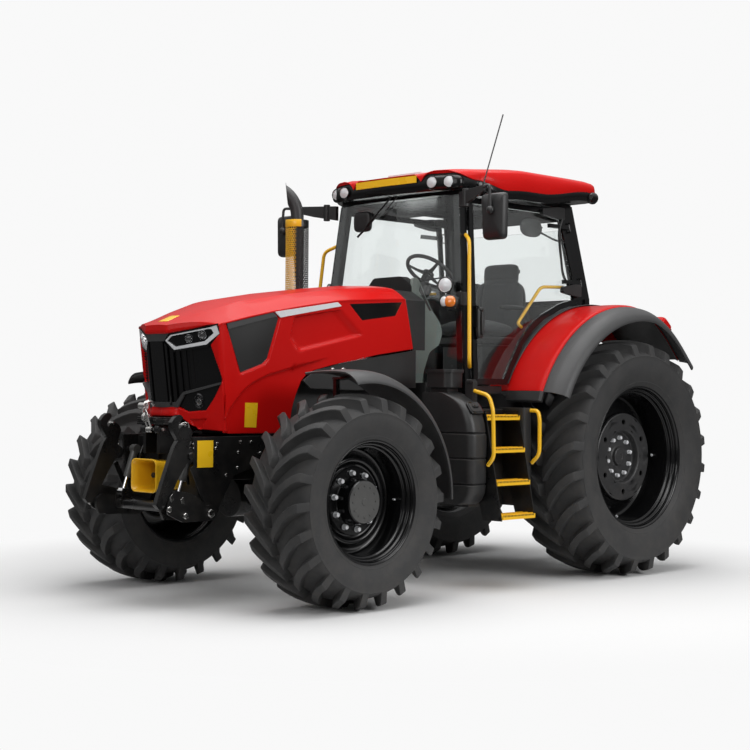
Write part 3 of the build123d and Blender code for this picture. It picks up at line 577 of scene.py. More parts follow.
def holed_plate(inner, outer, hole_r, hole_place, count, front, back, finish=0):
    """A flat ring with round holes. Each hole's share of the ring is filled by p = (1-s) circle +
    s border, from the hole to the border of its share, at the front and at the back, with the
    hole's wall between them."""
    steps = 32
    t = (np.arange(steps) + 0.5) * 2 * math.pi / steps
    c, s = np.cos(t), np.sin(t)
    grow = 1 / np.maximum(np.abs(c), np.abs(s))
    half_turn = math.pi / count
    middle = (inner + outer) / 2
    border_r = middle + (outer - inner) / 2 * np.clip(c * grow, -1, 1)
    border_t = half_turn * np.clip(s * grow, -1, 1)
    border = np.stack([border_r * np.cos(border_t), border_r * np.sin(border_t)], 1)
    hole = np.stack([hole_place + hole_r * c, hole_r * s], 1)
    shares = np.array([0, 0, 0.35, 1, 1, 0.35])[:, None, None]
    depth = np.array([back, front, front, front, back, back])
    plane = (1 - shares) * hole + shares * border
    points = np.stack([np.repeat(depth[:, None], steps, 1), plane[..., 1], plane[..., 0]], -1)
    sector = surface(points, round_v=True, finish=finish)
    return join(*[changed(sector, turn_about((1, 0, 0), 360 * k / count)) for k in range(count)])


def smooth_profile(rows, steps=4):
    """A line through (a, r) points, eased: cubic between them, p(t) of Catmull and Rom."""
    p = np.asarray(rows, float)
    p = np.concatenate([p[:1] * 2 - p[1:2], p, p[-1:] * 2 - p[-2:-1]])
    t = np.linspace(0, 1, steps, endpoint=False)[:, None, None]
    a, b, c, d = p[:-3], p[1:-2], p[2:-1], p[3:]
    q = 0.5 * (2 * b + (c - a) * t + (2 * a - 5 * b + 4 * c - d) * t**2 + (3 * b - a - 3 * c + d) * t**3)
    return np.concatenate([q.transpose(1, 0, 2).reshape(-1, p.shape[1]), p[-2:-1]])


FRONT_LIP = (
    (0.225, 0.3825), (0.2335, 0.39), (0.2375, 0.403), (0.241, 0.4065), (0.245, 0.406), (0.247, 0.402),
    (0.2445, 0.395), (0.238, 0.389), (0.228, 0.385), (0.216, 0.3835), (0.208, 0.38), (0.204, 0.3725),
    (0.196, 0.369), (0.183, 0.368), (0.176, 0.364), (0.172, 0.356), (0.16, 0.353), (0.1, 0.35), (0.04, 0.348))
FRONT_DISH = (
    (0.04, 0.348), (0.03, 0.344), (0.024, 0.33), (0.024, 0.308), (0.033, 0.296), (0.052, 0.2905),
    (0.0625, 0.283), (0.065, 0.27), (0.059, 0.257), (0.044, 0.248), (0.038, 0.234), (0.038, 0.229))
REAR_LIP = (
    (0.24, 0.5345), (0.25, 0.543), (0.2545, 0.556), (0.2585, 0.5595), (0.263, 0.559), (0.265, 0.5545),
    (0.262, 0.547), (0.254, 0.54), (0.242, 0.5355), (0.23, 0.5335), (0.2225, 0.529), (0.218, 0.52),
    (0.209, 0.516), (0.197, 0.515), (0.19, 0.5105), (0.186, 0.502), (0.17, 0.4985), (0.1, 0.495), (0.0, 0.492)
)
INNER_LIP_FRONT = (
    (-0.04, 0.342), (-0.15, 0.346), (-0.205, 0.362), (-0.222, 0.374), (-0.236, 0.384), (-0.245, 0.4),
    (-0.243, 0.4065), (-0.237, 0.404), (-0.232, 0.39), (-0.222, 0.3825))
INNER_LIP_REAR = (
    (-0.04, 0.488), (-0.15, 0.494), (-0.205, 0.508), (-0.225, 0.522), (-0.24, 0.534), (-0.256, 0.55),
    (-0.254, 0.559), (-0.248, 0.556), (-0.243, 0.543), (-0.235, 0.5345))


def front_rim(centre):
    """Barrel, dished disc, hub flange with ten nuts, and the axle's end cap. Finishes: gloss
    black, charcoal, hub grey, bright steel."""
    lip = smooth_profile(FRONT_LIP, 3)
    dish = smooth_profile(FRONT_DISH, 3)
    back = np.array([(0.038, 0.2), (0.0, 0.2), (-0.01, 0.245), (0.006, 0.3), (0.012, 0.34)])
    barrel = np.concatenate([lip, dish[1:], back, smooth_profile(INNER_LIP_FRONT, 3)])
    flange = [
        (0.03, 0.0), (0.03, 0.226), (0.064, 0.226), (0.0695, 0.2205), (0.0715, 0.164), (0.077, 0.158),
        (0.1, 0.155), (0.156, 0.147), (0.166, 0.1445), (0.17, 0.1405), (0.1712, 0.136)]
    face = [(0.1712, 0.136), (0.17, 0.134), (0.17, 0.024), (0.1722, 0.022), (0.1722, 0.0)]
    nuts = circle_places(0.0715, 0.186, 10, 0.18 + math.pi / 10)
    pins = circle_places(0.17, 0.104, 12)
    valve = tube([(0.1, 0.35, 0.0), (0.1, 0.33, 0.0), (0.135, 0.318, 0.0)], 0.005, 0.01, 8, finish=3)
    forms = [
        turned(barrel, closed=True, steps=96),
        turned(flange, steps=72),
        turned(face, steps=72, finish=2),
        bolts(nuts, (1, 0, 0), 0.03, 0.026, 0.04, finish=3),
        bolts(pins, (1, 0, 0), 0.012, 0.004, finish=2),
        valve,
    ]
    return changed(join(*forms), move=centre)


def rear_rim(centre):
    """Barrel, flat disc with six holes, recessed hub with ten nuts and a cap. Finishes as the
    front rim."""
    lip = smooth_profile(REAR_LIP, 3)
    back = np.array([(-0.012, 0.488), (-0.02, 0.47), (0.07, 0.36), (0.06, 0.345), (-0.03, 0.46)])
    barrel = np.concatenate([lip, back, smooth_profile(INNER_LIP_REAR, 3)])
    hole_ring = holed_plate(0.222, 0.333, 0.0215, 0.2745, 6, 0.11, 0.096, finish=1)
    rim_edge = [(0.06, 0.34), (0.096, 0.343), (0.106, 0.3418), (0.11, 0.333)]
    well = smooth_profile([(0.11, 0.222), (0.1085, 0.21), (0.1, 0.202), (0.076, 0.199), (0.06, 0.196),
                           (0.052, 0.188)], 3)
    hub = [
        (0.052, 0.188), (0.05, 0.086), (0.053, 0.08), (0.058, 0.0745), (0.078, 0.07), (0.083, 0.064),
        (0.084, 0.03), (0.08, 0.026), (0.08, 0.0)]
    nuts = circle_places(0.0508, 0.149, 10, 0.1)
    lugs = [
        changed(block(0.015, 0.045, -0.022, 0.022, 0.462, 0.492), turn_about((1, 0, 0), a))
        for a in (0, 90, 180, 270)]
    lug_bolts = [np.array(turn_about((1, 0, 0), a)) @ [0.045, 0.0, 0.474] for a in (0, 90, 180, 270)]
    forms = [
        turned(barrel, closed=True, steps=112),
        hole_ring,
        turned(rim_edge, steps=96, finish=1),
        turned(well, steps=96, finish=1),
        turned(hub, steps=72, finish=1),
        turned([(0.03, 0.0), (0.03, 0.24), (0.095, 0.335), (0.06, 0.36), (0.0, 0.24), (0.0, 0.0)], steps=48),
        bolts(nuts, (1, 0, 0), 0.028, 0.026, 0.034, finish=3),
        join(*lugs),
        bolts(lug_bolts, (1, 0, 0), 0.016, 0.008, 0.022, finish=3),
    ]
    return changed(join(*forms), move=centre)


FRONT_HUB = (1.0, -2.95, 0.705)
REAR_HUB = (0.98, 0.0, 0.922)
WHEEL_FINISHES = [GLOSS_BLACK, CHARCOAL, HUB_GREY, SILVER]
front_tyre_form = tyre(FRONT_HUB, FRONT_TREAD, FRONT_WALL, 22, 0.215, 0.038, 0.054)
rear_tyre_form = tyre(REAR_HUB, REAR_TREAD, REAR_WALL, 24, 0.25, 0.046, 0.066)
front_rim_form = front_rim(FRONT_HUB)
rear_rim_form = rear_rim(REAR_HUB)
for side, other in (("left", False), ("right", True)):
    for end, tyre_form, rim_form in (
        ("front", front_tyre_form, front_rim_form), ("rear", rear_tyre_form, rear_rim_form)
    ):
        body = f"wheel_{end}_{side}"
        if other:
            tyre_form, rim_form = flipped(tyre_form), flipped(rim_form)
        piece(f"{end}_{side}_tyre", body, tyre_form, RUBBER, f"tyre_{end}_{side}", "tyre_rubber", sharp=28)
        piece(f"{end}_{side}_rim", body, rim_form, WHEEL_FINISHES, f"rim_{end}_{side}", "rim_paint", sharp=30)

# ---- hood ----
# the nose: its front, half its flat middle, the slope of its flanks in plan, and its rake below
# and above the height where it crosses the plan
NOSE_FRONT, FLAT_HALF, FLANK_SLOPE = -3.765, 0.11, 0.59
NOSE_RAKE, RAKE_TOP = 0.13, 1.78
# plan of the nose and side, from the middle of the nose round to the rear edge (x, y)
PLAN = (
    (0.0, NOSE_FRONT), (FLAT_HALF, NOSE_FRONT), (0.43, -3.576), (0.4385, -3.545), (0.44, -2.6),
    (0.447, -1.735))
# the crease between side and top, columns: y, z
SIDE_CREASE = (
    (-3.77, 1.815), (-3.562, 1.862), (-3.515, 1.874), (-3.318, 1.92), (-3.107, 1.964), (-2.889, 2.003),
    (-2.527, 2.06), (-2.378, 2.074), (-2.1, 2.093), (-1.836, 2.108), (-1.7, 2.108))
# the top's sections, columns: y, inner crease x, inner crease z, middle z
TOP_SECTIONS = (
    (-3.77, 0.116, 1.846, 1.852), (-3.7, 0.13, 1.873, 1.881), (-3.6, 0.16, 1.911, 1.922),
    (-3.49, 0.2, 1.955, 1.968), (-3.25, 0.26, 2.028, 2.048), (-2.85, 0.3, 2.096, 2.114),
    (-2.45, 0.31, 2.145, 2.165), (-2.13, 0.31, 2.176, 2.2), (-1.87, 0.305, 2.189, 2.214),
    (-1.82, 0.302, 2.185, 2.21))
# the nose's upper edge, columns: x, z
LIP = (
    (0.0, 1.796), (0.12, 1.799), (0.189, 1.813), (0.276, 1.83), (0.363, 1.851), (0.436, 1.86), (0.437, 1.866))
# lower edge along the side, columns: y, z
SIDE_FOOT = (
    (-3.56, 1.15), (-3.45, 1.135), (-2.925, 1.132), (-2.89, 1.327), (-2.86, 1.41), (-2.821, 1.492),
    (-2.78, 1.532), (-2.705, 1.568), (-2.55, 1.605), (-2.373, 1.638), (-2.1, 1.688), (-1.735, 1.738))
# the same along the nose, columns: x, z
NOSE_FOOT = ((0.0, 1.25), (0.153, 1.25), (0.206, 1.2), (0.26, 1.165), (0.42, 1.152))
# outlines on the nose, (x, z)
NOSE_BLACK = (
    (-0.3, 1.83), (0.12, 1.83), (0.276, 1.85), (0.363, 1.87), (0.437, 1.88), (0.437, 1.79), (0.379, 1.718),
    (0.433, 1.49), (0.373, 1.373), (0.313, 1.283), (0.202, 1.273), (0.145, 1.306), (-0.3, 1.306))
NOSE_VENT = ((0.209, 1.228), (0.317, 1.236), (0.279, 1.166), (0.23, 1.17))
# outlines on the side, (y, z)
SIDE_WINDOW = (
    (-3.511, 1.862), (-3.107, 1.952), (-3.054, 1.916), (-3.146, 1.637), (-3.19, 1.6), (-3.38, 1.537))
SILVER_STRIP = ((-3.098, 1.956), (-2.513, 2.048), (-2.471, 2.022), (-3.046, 1.919))
BADGE = ((-2.393, 2.041), (-1.862, 2.078), (-1.932, 1.974), (-2.267, 1.93))
# the recess between the strip and the badge: each edge's two points, and its wall's width
RECESS = (
    ((-2.914, 1.931), (-2.5, 1.996), 0.008), ((-2.44, 1.99), (-2.224, 1.818), 0.08),
    ((-2.224, 1.822), (-2.855, 1.688), 0.032), ((-2.855, 1.688), (-2.952, 1.775), 0.024),
    ((-2.952, 1.775), (-2.914, 1.931), 0.01))
# the line under which the side steps in to its lower panel, (y, z)
LOWER_CREASE = (
    (-2.4, 1.7), (-2.54, 1.674), (-2.885, 1.596), (-3.145, 1.533), (-3.271, 1.481), (-3.354, 1.423),
    (-3.452, 1.315), (-3.556, 1.183), (-3.62, 1.09))


def smooth_step(value):
    """3 t^2 - 2 t^3 between 0 and 1."""
    t = np.clip(value, 0, 1)
    return t * t * (3 - 2 * t)


def inside(u, v, outline):
    """The distance to a closed outline, above 0 inside it and below 0 outside."""
    corners = np.asarray(outline, float)
    after = np.roll(corners, -1, axis=0)
    nearest = np.full(np.shape(u), 9.0)
    crossings = np.zeros(np.shape(u), int)
    for (u0, v0), (u1, v1) in zip(corners, after):
        du, dv = u1 - u0, v1 - v0
        share = np.clip(((u - u0) * du + (v - v0) * dv) / (du * du + dv * dv), 0, 1)
        nearest = np.minimum(nearest, np.hypot(u - u0 - share * du, v - v0 - share * dv))
        over = (v0 > v) != (v1 > v)
        where = u0 + (v - v0) * du / (dv if dv else 1e-9)
        crossings += over & (u < where)
    return np.where(crossings % 2 == 1, nearest, -nearest)


def beside(u, v, start, end):
    """The distance from a line through two points, above 0 on its right-hand side."""
    du, dv = end[0] - start[0], end[1] - start[1]
    return ((u - start[0]) * -dv + (v - start[1]) * du) / -math.hypot(du, dv)


def across(x):
    """The length along the nose's plan from its middle to a place x: the flank is longer than x."""
    return float(x if x < FLAT_HALF else FLAT_HALF + (x - FLAT_HALF) * math.hypot(1, FLANK_SLOPE))


def unrolled(outline):
    """A nose outline of (x, z) with x as the length along the plan."""
    return [(across(x), z) for x, z in outline]


def on_nose(form):
    """A form drawn flat as (length along the plan, outward, z), laid on the nose:
    p = (x, f(x) + rake (top - z), z) + out n."""
    s, out, z = form.points.T
    side = np.sign(s) + (s == 0)
    s = np.abs(s)
    flank = s > FLAT_HALF
    long = math.hypot(1, FLANK_SLOPE)
    x = np.where(flank, FLAT_HALF + (s - FLAT_HALF) / long, s)
    y = NOSE_FRONT + np.where(flank, (x - FLAT_HALF) * FLANK_SLOPE, 0) + NOSE_RAKE * (RAKE_TOP - z)
    turn = smooth_step((s - FLAT_HALF + 0.012) / 0.024)
    nx, ny = turn * FLANK_SLOPE / long, -(1 - turn * (1 - 1 / long))
    points = np.stack([side * (x + out * nx), y + out * ny, z - out * NOSE_RAKE], -1)
    return Form(points, form.corners, form.sizes, form.finish)


def side_x(y, z):
    """Half width of the hood's side: wider to the rear, and drawn in a little downwards."""
    plan = np.array(PLAN[2:])
    return np.interp(y, plan[:, 1], plan[:, 0]) - 0.045 * np.clip(1.95 - z, 0, 1) ** 1.5


def on_side(form):
    """A form drawn flat as (outward, y, z), laid on the hood's side."""
    out, y, z = form.points.T
    return Form(np.stack([side_x(y, z) + out, y, z], -1), form.corners, form.sizes, form.finish)


def below_crease(y, z):
    """How far a point of the side lies under the lower crease, 1 when fully in the lower panel."""
    line = np.array(LOWER_CREASE)[::-1]
    drop = (np.interp(y, line[:, 0], line[:, 1]) - z) / 0.02
    return smooth_step(drop) * smooth_step((-2.55 - y) / 0.25)


def hood_skirt():
    """The nose and one side, p(s, t) = plan(s) + d(s, z) n(s): s runs along the plan and t up from
    the lower edge to the crease. d is the sum of the recesses, each a smooth step of the distance
    inside its outline over its wall's width."""
    path = rounded_path([(x, y, 0) for x, y in PLAN], 0.022, 6)[:, :2]
    run = np.concatenate([[0], np.cumsum(np.hypot(*np.diff(path, axis=0).T))])
    s = np.concatenate([np.linspace(0, 0.56, 112), np.linspace(0.566, run[-1], 222)])
    x, y = np.interp(s, run, path[:, 0]), np.interp(s, run, path[:, 1])
    tangent = np.gradient(np.stack([x, y], 1), s, axis=0)
    tangent /= np.linalg.norm(tangent, axis=1)[:, None]
    nx, ny = tangent[:, 1], -tangent[:, 0]
    nose_share = np.clip((-3.515 - y) / 0.05, 0, 1)
    lip, crease = np.array(LIP), np.array(SIDE_CREASE)
    top = np.where(
        x < 0.43, np.interp(x, lip[:, 0], lip[:, 1]), np.interp(y, crease[:, 0], crease[:, 1]) - 0.004)
    foot_side, foot_nose = np.array(SIDE_FOOT), np.array(NOSE_FOOT)
    foot = np.where(
        y < -3.575, np.interp(x, foot_nose[:, 0], foot_nose[:, 1]),
        np.interp(y, foot_side[:, 0], foot_side[:, 1]))
    t = np.linspace(0, 1, 118)
    z = foot[:, None] + t * (top - foot)[:, None]
    # the rear edge leans: the last columns follow it
    rear = np.interp(z, [1.73, 2.128], [-1.735, -1.832])
    pull = smooth_step((y[:, None] + 2.05) / 0.31)
    yy = y[:, None] + pull * (rear + 1.735) + NOSE_RAKE * (RAKE_TOP - z) * nose_share[:, None]
    along = np.repeat(s[:, None], len(t), 1)
    on_front = (y < -3.545)[:, None]
    black = inside(along, z, unrolled(NOSE_BLACK))
    depth = -0.026 * smooth_step(black / 0.012) * on_front
    depth = depth - 0.014 * smooth_step(inside(along, z, unrolled(NOSE_VENT)) / 0.007) * on_front
    depth = depth + 0.016 * smooth_step((1.306 - z) / 0.05) * smooth_step((0.155 - along) / 0.012)
    on_flank = (y > -3.575)[:, None]
    depth = depth - 0.011 * smooth_step((inside(yy, z, SIDE_WINDOW) + 0.012) / 0.013) * on_flank
    bowl = np.ones_like(z)
    for start, end, wide in RECESS:
        bowl = bowl * smooth_step(beside(yy, z, start, end) / wide)
    depth = depth - 0.024 * bowl * on_flank
    depth = depth - 0.018 * below_crease(yy, z) * on_flank
    depth = depth - 0.004 * smooth_step(inside(yy, z, BADGE) / 0.006) * on_flank
    tuck = np.where(
        on_flank, side_x(yy, z) - np.interp(yy, np.array(PLAN[2:])[:, 1], np.array(PLAN[2:])[:, 0]), 0)
    tuck = tuck * smooth_step((yy + 3.6) / 0.2)
    depth = depth + tuck
    points = np.stack([x[:, None] + depth * nx[:, None], yy + depth * ny[:, None], z], -1)
    form = surface(points)
    middle = (black[:-1, :-1] + black[1:, 1:]) / 2
    form.finish[:] = (np.where(on_front[:-1], middle, -1) > 0.008).ravel()
    return form


def top_height(x, y):
    """Height of the hood's top: a crowned middle between the inner creases, and a flat shoulder
    from each inner crease down to the side's crease."""
    rows, edge = np.array(TOP_SECTIONS), np.array(SIDE_CREASE)
    inner_x = np.interp(y, rows[:, 0], rows[:, 1])
    inner_z = np.interp(y, rows[:, 0], rows[:, 2])
    middle_z = np.interp(y, rows[:, 0], rows[:, 3])
    edge_z = np.interp(y, edge[:, 0], edge[:, 1])
    edge_x = np.interp(y, np.array(PLAN[2:])[:, 1], np.array(PLAN[2:])[:, 0])
    x = np.abs(x)
    crown = middle_z - (middle_z - inner_z) * (x / inner_x) ** 2
    share = np.clip((x - inner_x) / (edge_x - inner_x), 0, 1.2)
    shoulder = inner_z + (edge_z - inner_z) * share + 0.006 * np.sin(np.clip(share, 0, 1) * math.pi)
    return np.where(x < inner_x, crown, shoulder)


def hood_top():
    """The top panel, p(u, a): a runs across from edge to edge and u from the nose's lip to the
    rear edge. Its rims turn down."""
    a = np.linspace(-1, 1, 97)
    u = np.concatenate([np.linspace(0, 0.3, 61), np.linspace(0.31, 1, 70)])
    widths = np.array(PLAN[2:])
    guess = -3.576 + 1.756 * u
    half = np.interp(guess, widths[:, 1], widths[:, 0])
    x = a * half[:, None]
    lip_y = NOSE_FRONT + 0.004 + FLANK_SLOPE * np.maximum(np.abs(x) - FLAT_HALF, 0)
    rear_y = -1.838 + 0.28 * (top_height(x, -1.83) - 2.128)
    y = lip_y + (rear_y - lip_y) * u[:, None]
    z = top_height(x, y)
    lip = np.array(LIP)
    low = np.interp(np.abs(x[0]), lip[:, 0], lip[:, 1]) - 0.002
    brow = []
    for share, forward in ((-0.12, 0.012), (0.0, -0.002), (0.12, -0.0075), (0.45, -0.006), (0.8, -0.001)):
        lift = low + (z[0] - low) * share
        brow.append(np.stack([x[0], y[0] + forward, lift], -1))
    points = np.concatenate([np.array(brow), np.stack([x, y, z], -1)])
    # rear rim
    rim = points[-1] + np.array([[0, 0.004, -0.002]])
    points = np.concatenate([points, [rim, rim + [0, 0.001, -0.004], rim + [0, -0.008, -0.005]]])
    # side rims
    for column, sign in ((0, -1), (-1, 1)):
        edge = points[:, column]
        rims = [
            edge + [sign * 0.003, 0, -0.0015], edge + [sign * 0.0045, 0, -0.006],
            edge + [sign * 0.003, 0, -0.011], edge + [-sign * 0.012, 0, -0.012]]
        rims = np.stack(rims, 1)
        points = np.concatenate([rims[:, ::-1], points], 1) if sign < 0 else np.concatenate([points, rims], 1)
    return surface(points)


def flat_patch(outline, low, high, finish=0):
    """An outline as a plate from low to high outward, drawn as (length, outward, z)."""
    return prism(outline, "xz", low, high, finish)


def side_patch(outline, low, high, finish=0):
    """An outline as a plate from low to high outward, drawn as (outward, y, z)."""
    return prism(outline, "yz", low, high, finish)


def frame_band(outer, inner, low, high, finish=0):
    """A flat band between two outlines of as many corners, as a closed ring of four faces round:
    outer low, outer high, inner high, inner low."""
    outer, inner = np.asarray(outer, float), np.asarray(inner, float)
    ring = [(outer, low), (outer, high), (inner, high), (inner, low)]
    points = np.stack([np.stack([o[:, 0], np.full(len(o), h), o[:, 1]], -1) for o, h in ring])
    return surface(points, round_u=True, round_v=True, finish=finish)


def lamp_pod(place, radius, finish_bowl, finish_lens):
    """A lamp in a housing: a bowl about the outward direction, and a lens crowned over it."""
    bowl = [
        (-0.02, 0.0), (-0.02, radius * 0.55), (-0.004, radius * 0.92), (0.001, radius),
        (-0.003, radius * 1.08), (-0.022, radius * 1.08)]
    lens = [
        (-0.006, radius * 0.9), (0.0, radius * 0.8), (0.006, radius * 0.55), (0.009, radius * 0.25),
        (0.0095, 0.0)]
    bowl_form = turned(bowl, axis="y", steps=28, finish=finish_bowl)
    lens_form = turned(lens, axis="y", steps=28, finish=finish_lens)
    return changed(join(bowl_form, lens_form), move=(place[0], 0, place[1]))


skirt = hood_skirt()
hood_finishes = [RED, GLOSS_BLACK]
piece("hood_side_left", "hood", skirt, hood_finishes, "hood_shell", "red_paint", wall=0.004, sharp=40)
piece("hood_side_right", "hood", flipped(skirt), hood_finishes, slot="red_paint", wall=0.004, sharp=40)
piece("hood_top", "hood", hood_top(), RED, slot="red_paint", wall=0.004, sharp=62)

# headlamps: outer frame, inner frame and lamps, on the unrolled nose
LAMP_OUTER = unrolled((
    (0.095, 1.748), (0.139, 1.785), (0.378, 1.834), (0.423, 1.849), (0.437, 1.795), (0.353, 1.722),
    (0.153, 1.686)))
LAMP_INNER = unrolled((
    (0.113, 1.745), (0.144, 1.777), (0.372, 1.824), (0.39, 1.822), (0.401, 1.796), (0.342, 1.743),
    (0.161, 1.706)))
LAMP_BEZEL = unrolled((
    (0.084, 1.752), (0.13, 1.794), (0.378, 1.843), (0.433, 1.861), (0.437, 1.792), (0.358, 1.706),
    (0.142, 1.671)))
headlamp = join(
    frame_band(LAMP_BEZEL, LAMP_OUTER, -0.026, -0.004, 0),
    frame_band(LAMP_OUTER, LAMP_INNER, -0.02, -0.006, 1),
    flat_patch(LAMP_INNER, -0.032, -0.026, 0),
    changed(lamp_pod((float(across(0.243)), 1.759), 0.027, 2, 3), move=(0, -0.01, 0)),
    changed(lamp_pod((float(across(0.328)), 1.785), 0.03, 2, 3), move=(0, -0.01, 0)),
)
pair("headlamp_{}", "hood", on_nose(headlamp), [GLOSS_BLACK, SILVER, CHROME, LENS], bevel=0.0015)

# grille: a middle strip, slats that flatten outwards, a band over and a band under
SLAT_PITCH = 0.043


def grille_slats():
    """Upright slats across the nose: out = h(s) w(s), where w is a flat-topped wave of the pitch
    and h falls towards the flank; each column ends on the line of the band below it."""
    s = np.linspace(-0.5, 0.5, 501)
    wave = smooth_step((np.cos((np.abs(s) - 0.0985) / SLAT_PITCH * 2 * math.pi) + 0.55) / 0.5)
    high = 0.024 * smooth_step((0.34 - np.abs(s)) / 0.22)
    out = -0.026 + wave * high
    middle = np.abs(s) < 0.07
    out = np.where(middle, -0.003, out)
    foot = np.interp(np.abs(s), [0.136, 0.2, 0.47], [1.32, 1.395, 1.47])
    side = np.abs(s)
    head = np.interp(
        side, [0.0, 0.07, 0.0701, 0.084, 0.145, 0.4, 0.46, 0.52],
        [1.742, 1.742, 1.745, 1.74, 1.68, 1.72, 1.72, 1.55])
    t = np.linspace(0, 1, 5)
    z = foot[:, None] + t * (head - foot)[:, None]
    edge = np.interp(z, [1.49, 1.718], [0.4786, 0.4176])
    reach = np.minimum(side[:, None], edge * 1.015)
    points = np.stack([np.sign(s)[:, None] * reach, np.repeat(out[:, None], 5, 1), z], -1)
    return surface(points)


BAND_TOP = unrolled(((0.0, 1.796), (0.127, 1.796), (0.086, 1.744), (0.0, 1.744)))
BAND_LOW = unrolled((
    (0.0, 1.341), (0.138, 1.341), (0.187, 1.409), (0.422, 1.476), (0.418, 1.462), (0.196, 1.394),
    (0.148, 1.308), (0.0, 1.308)))
FOG_AREA = unrolled((
    (0.187, 1.398), (0.42, 1.464), (0.373, 1.373), (0.311, 1.286), (0.202, 1.276), (0.15, 1.32)))
band_low = flat_patch(BAND_LOW, -0.026, 0.01, 1)
fog_panel = flat_patch(FOG_AREA, -0.04, -0.016, 0)
fog_lamp = changed(
    changed(lamp_pod((0, 0), 0.021, 2, 3), np.diag([1, 1, 1.35])), move=(float(across(0.275)), -0.006, 1.348))
fog_hood = changed(
    turned(
        [(-0.03, 0.046), (-0.012, 0.04), (-0.01, 0.034), (-0.014, 0.029), (-0.03, 0.028)], axis="y", steps=28
    ),
    np.diag([1, 1, 1.3]), (float(across(0.272)), 0, 1.347))
half_grille = join(band_low, fog_panel, fog_lamp, fog_hood, flat_patch(BAND_TOP, -0.026, -0.003, 1))
grille_form = join(on_nose(grille_slats()), both(on_nose(half_grille)))
piece(
    "grille_face", "hood", grille_form, [GLOSS_BLACK, GREY_PLASTIC, CHROME, LENS], "grille", "black_plastic",
    sharp=30)

# side trim of the hood
WINDOW_STRIP = ((-3.511, 1.862), (-3.107, 1.952), (-3.071, 1.927), (-3.497, 1.826))


def window_mesh():
    """Pressed mesh in the window: a plate, ruled between its top and bottom lines."""
    u = np.linspace(0, 1, 60)
    top_at, foot_at = [0, 0.93, 1], [0, 0.78, 1]
    top = np.stack(
        [np.interp(u, top_at, [-3.503, -3.085, -3.058]), np.interp(u, top_at, [1.842, 1.938, 1.914])], -1)
    foot = np.stack(
        [np.interp(u, foot_at, [-3.377, -3.192, -3.15]), np.interp(u, foot_at, [1.543, 1.604, 1.64])], -1)
    t = np.linspace(0, 1, 40)[:, None, None]
    yz = foot + t * (top - foot)
    out = -0.0075 + 0.004 * np.sin(t * math.pi)[..., 0] * np.sin(u * math.pi)
    return surface(np.stack([out, yz[..., 0], yz[..., 1]], -1))


side_trim = join(
    window_mesh(),
    side_patch(WINDOW_STRIP, -0.008, 0.001, 1),
    side_patch(soft_outline(SILVER_STRIP, 0.006, 2), -0.004, 0.006, 2),
    side_patch(soft_outline(BADGE, 0.005, 2), -0.008, 0.001, 3),
)
pair(
    "hood_trim_{}", "hood", on_side(side_trim), [MESH_BLACK, GREY_PLASTIC, SILVER, GLOSS_BLACK], bevel=0.0012)


# ---- arches, rounded blocks, lamps, CAD copies ----
def arch(section, centre, start, end, steps=72, finish=0):
    """A closed (x, radius) section carried round an axle at (y, z), the angle measured from the
    rear upwards: p = (x, y + r cos a, z + r sin a)."""
    section = np.asarray(section, float)
    angle = np.radians(np.linspace(start, end, steps))[:, None]
    x = np.repeat(section[None, :, 0], steps, 0)
    points = np.stack(
        [x, centre[0] + section[:, 1] * np.cos(angle), centre[1] + section[:, 1] * np.sin(angle)], -1)
    return surface(points, round_v=True, caps=True, finish=finish)


def shell(line, thick):
    """A line of (x, radius) as a thin closed section, thickened inwards."""
    line = np.asarray(line, float)
    along = np.gradient(line, axis=0)
    along /= np.linalg.norm(along, axis=1)[:, None]
    inward = np.stack([along[:, 1], -along[:, 0]], 1)
    return np.concatenate([line, (line + inward * thick)[::-1]])


def pillow(centre, half, power=4.0, steps=20, finish=0, upright=None):
    """A rounded block, |x/a|^n + |y/b|^n + |z/c|^m = 1: a superellipsoid."""
    upright = upright or power
    v = np.linspace(0, 2 * math.pi, 2 * steps, endpoint=False)
    u = np.linspace(-math.pi / 2, math.pi / 2, steps)[:, None]
    bent = lambda value, n: np.sign(value) * np.abs(value) ** (2 / n)
    ring = bent(np.cos(u), upright)
    points = np.stack([half[0] * ring * bent(np.cos(v), power), half[1] * ring * bent(np.sin(v), power),
                       half[2] * bent(np.sin(u), upright) * np.ones_like(v)], -1)
    return surface(points + np.asarray(centre, float), round_v=True, caps=True, finish=finish)


def round_lamp(place, radius, turn=0.0, finish=(0, 1, 2)):
    """A round lamp facing the front: a housing, a bright rim and a ribbed glass whose height is
    h = c (1 - (r / R)^2) + e cos(n angle)."""
    cup = [
        (0.05, 0.0), (0.05, radius * 0.8), (0.006, radius * 1.22), (-0.004, radius * 1.2),
        (-0.006, radius * 1.08), (0.002, radius * 1.04)]
    rim = [(0.002, radius * 1.06), (-0.003, radius * 1.0), (0.002, radius * 0.94)]
    angle = np.linspace(0, 2 * math.pi, 48, endpoint=False)
    share = np.linspace(1.0, 0.0, 9)[:, None]
    high = -0.25 * radius * (1 - share**2) + 0.02 * radius * np.cos(12 * angle) * share * np.sin(share * 9)
    glass = np.stack([radius * share * np.cos(angle), high, radius * share * np.sin(angle)], -1)
    form = join(
        turned(cup, axis="y", steps=36, finish=finish[0]), turned(rim, axis="y", steps=36, finish=finish[1]),
        surface(glass, round_v=True, finish=finish[2]))
    return changed(form, turn_about((0, 0, 1), turn), place)


def cad_form(node):
    """A CAD node's own faces as a form, to be bevelled: the node itself is left as it is."""
    mesh = frame["nodes"][node].data
    points = np.zeros(len(mesh.vertices) * 3)
    mesh.vertices.foreach_get("co", points)
    corners = np.zeros(len(mesh.loops), int)
    mesh.loops.foreach_get("vertex_index", corners)
    sizes = np.zeros(len(mesh.polygons), int)
    mesh.polygons.foreach_get("loop_total", sizes)
    return Form(points.reshape(-1, 3) - [0, AXLE_Y, 0], corners, sizes)


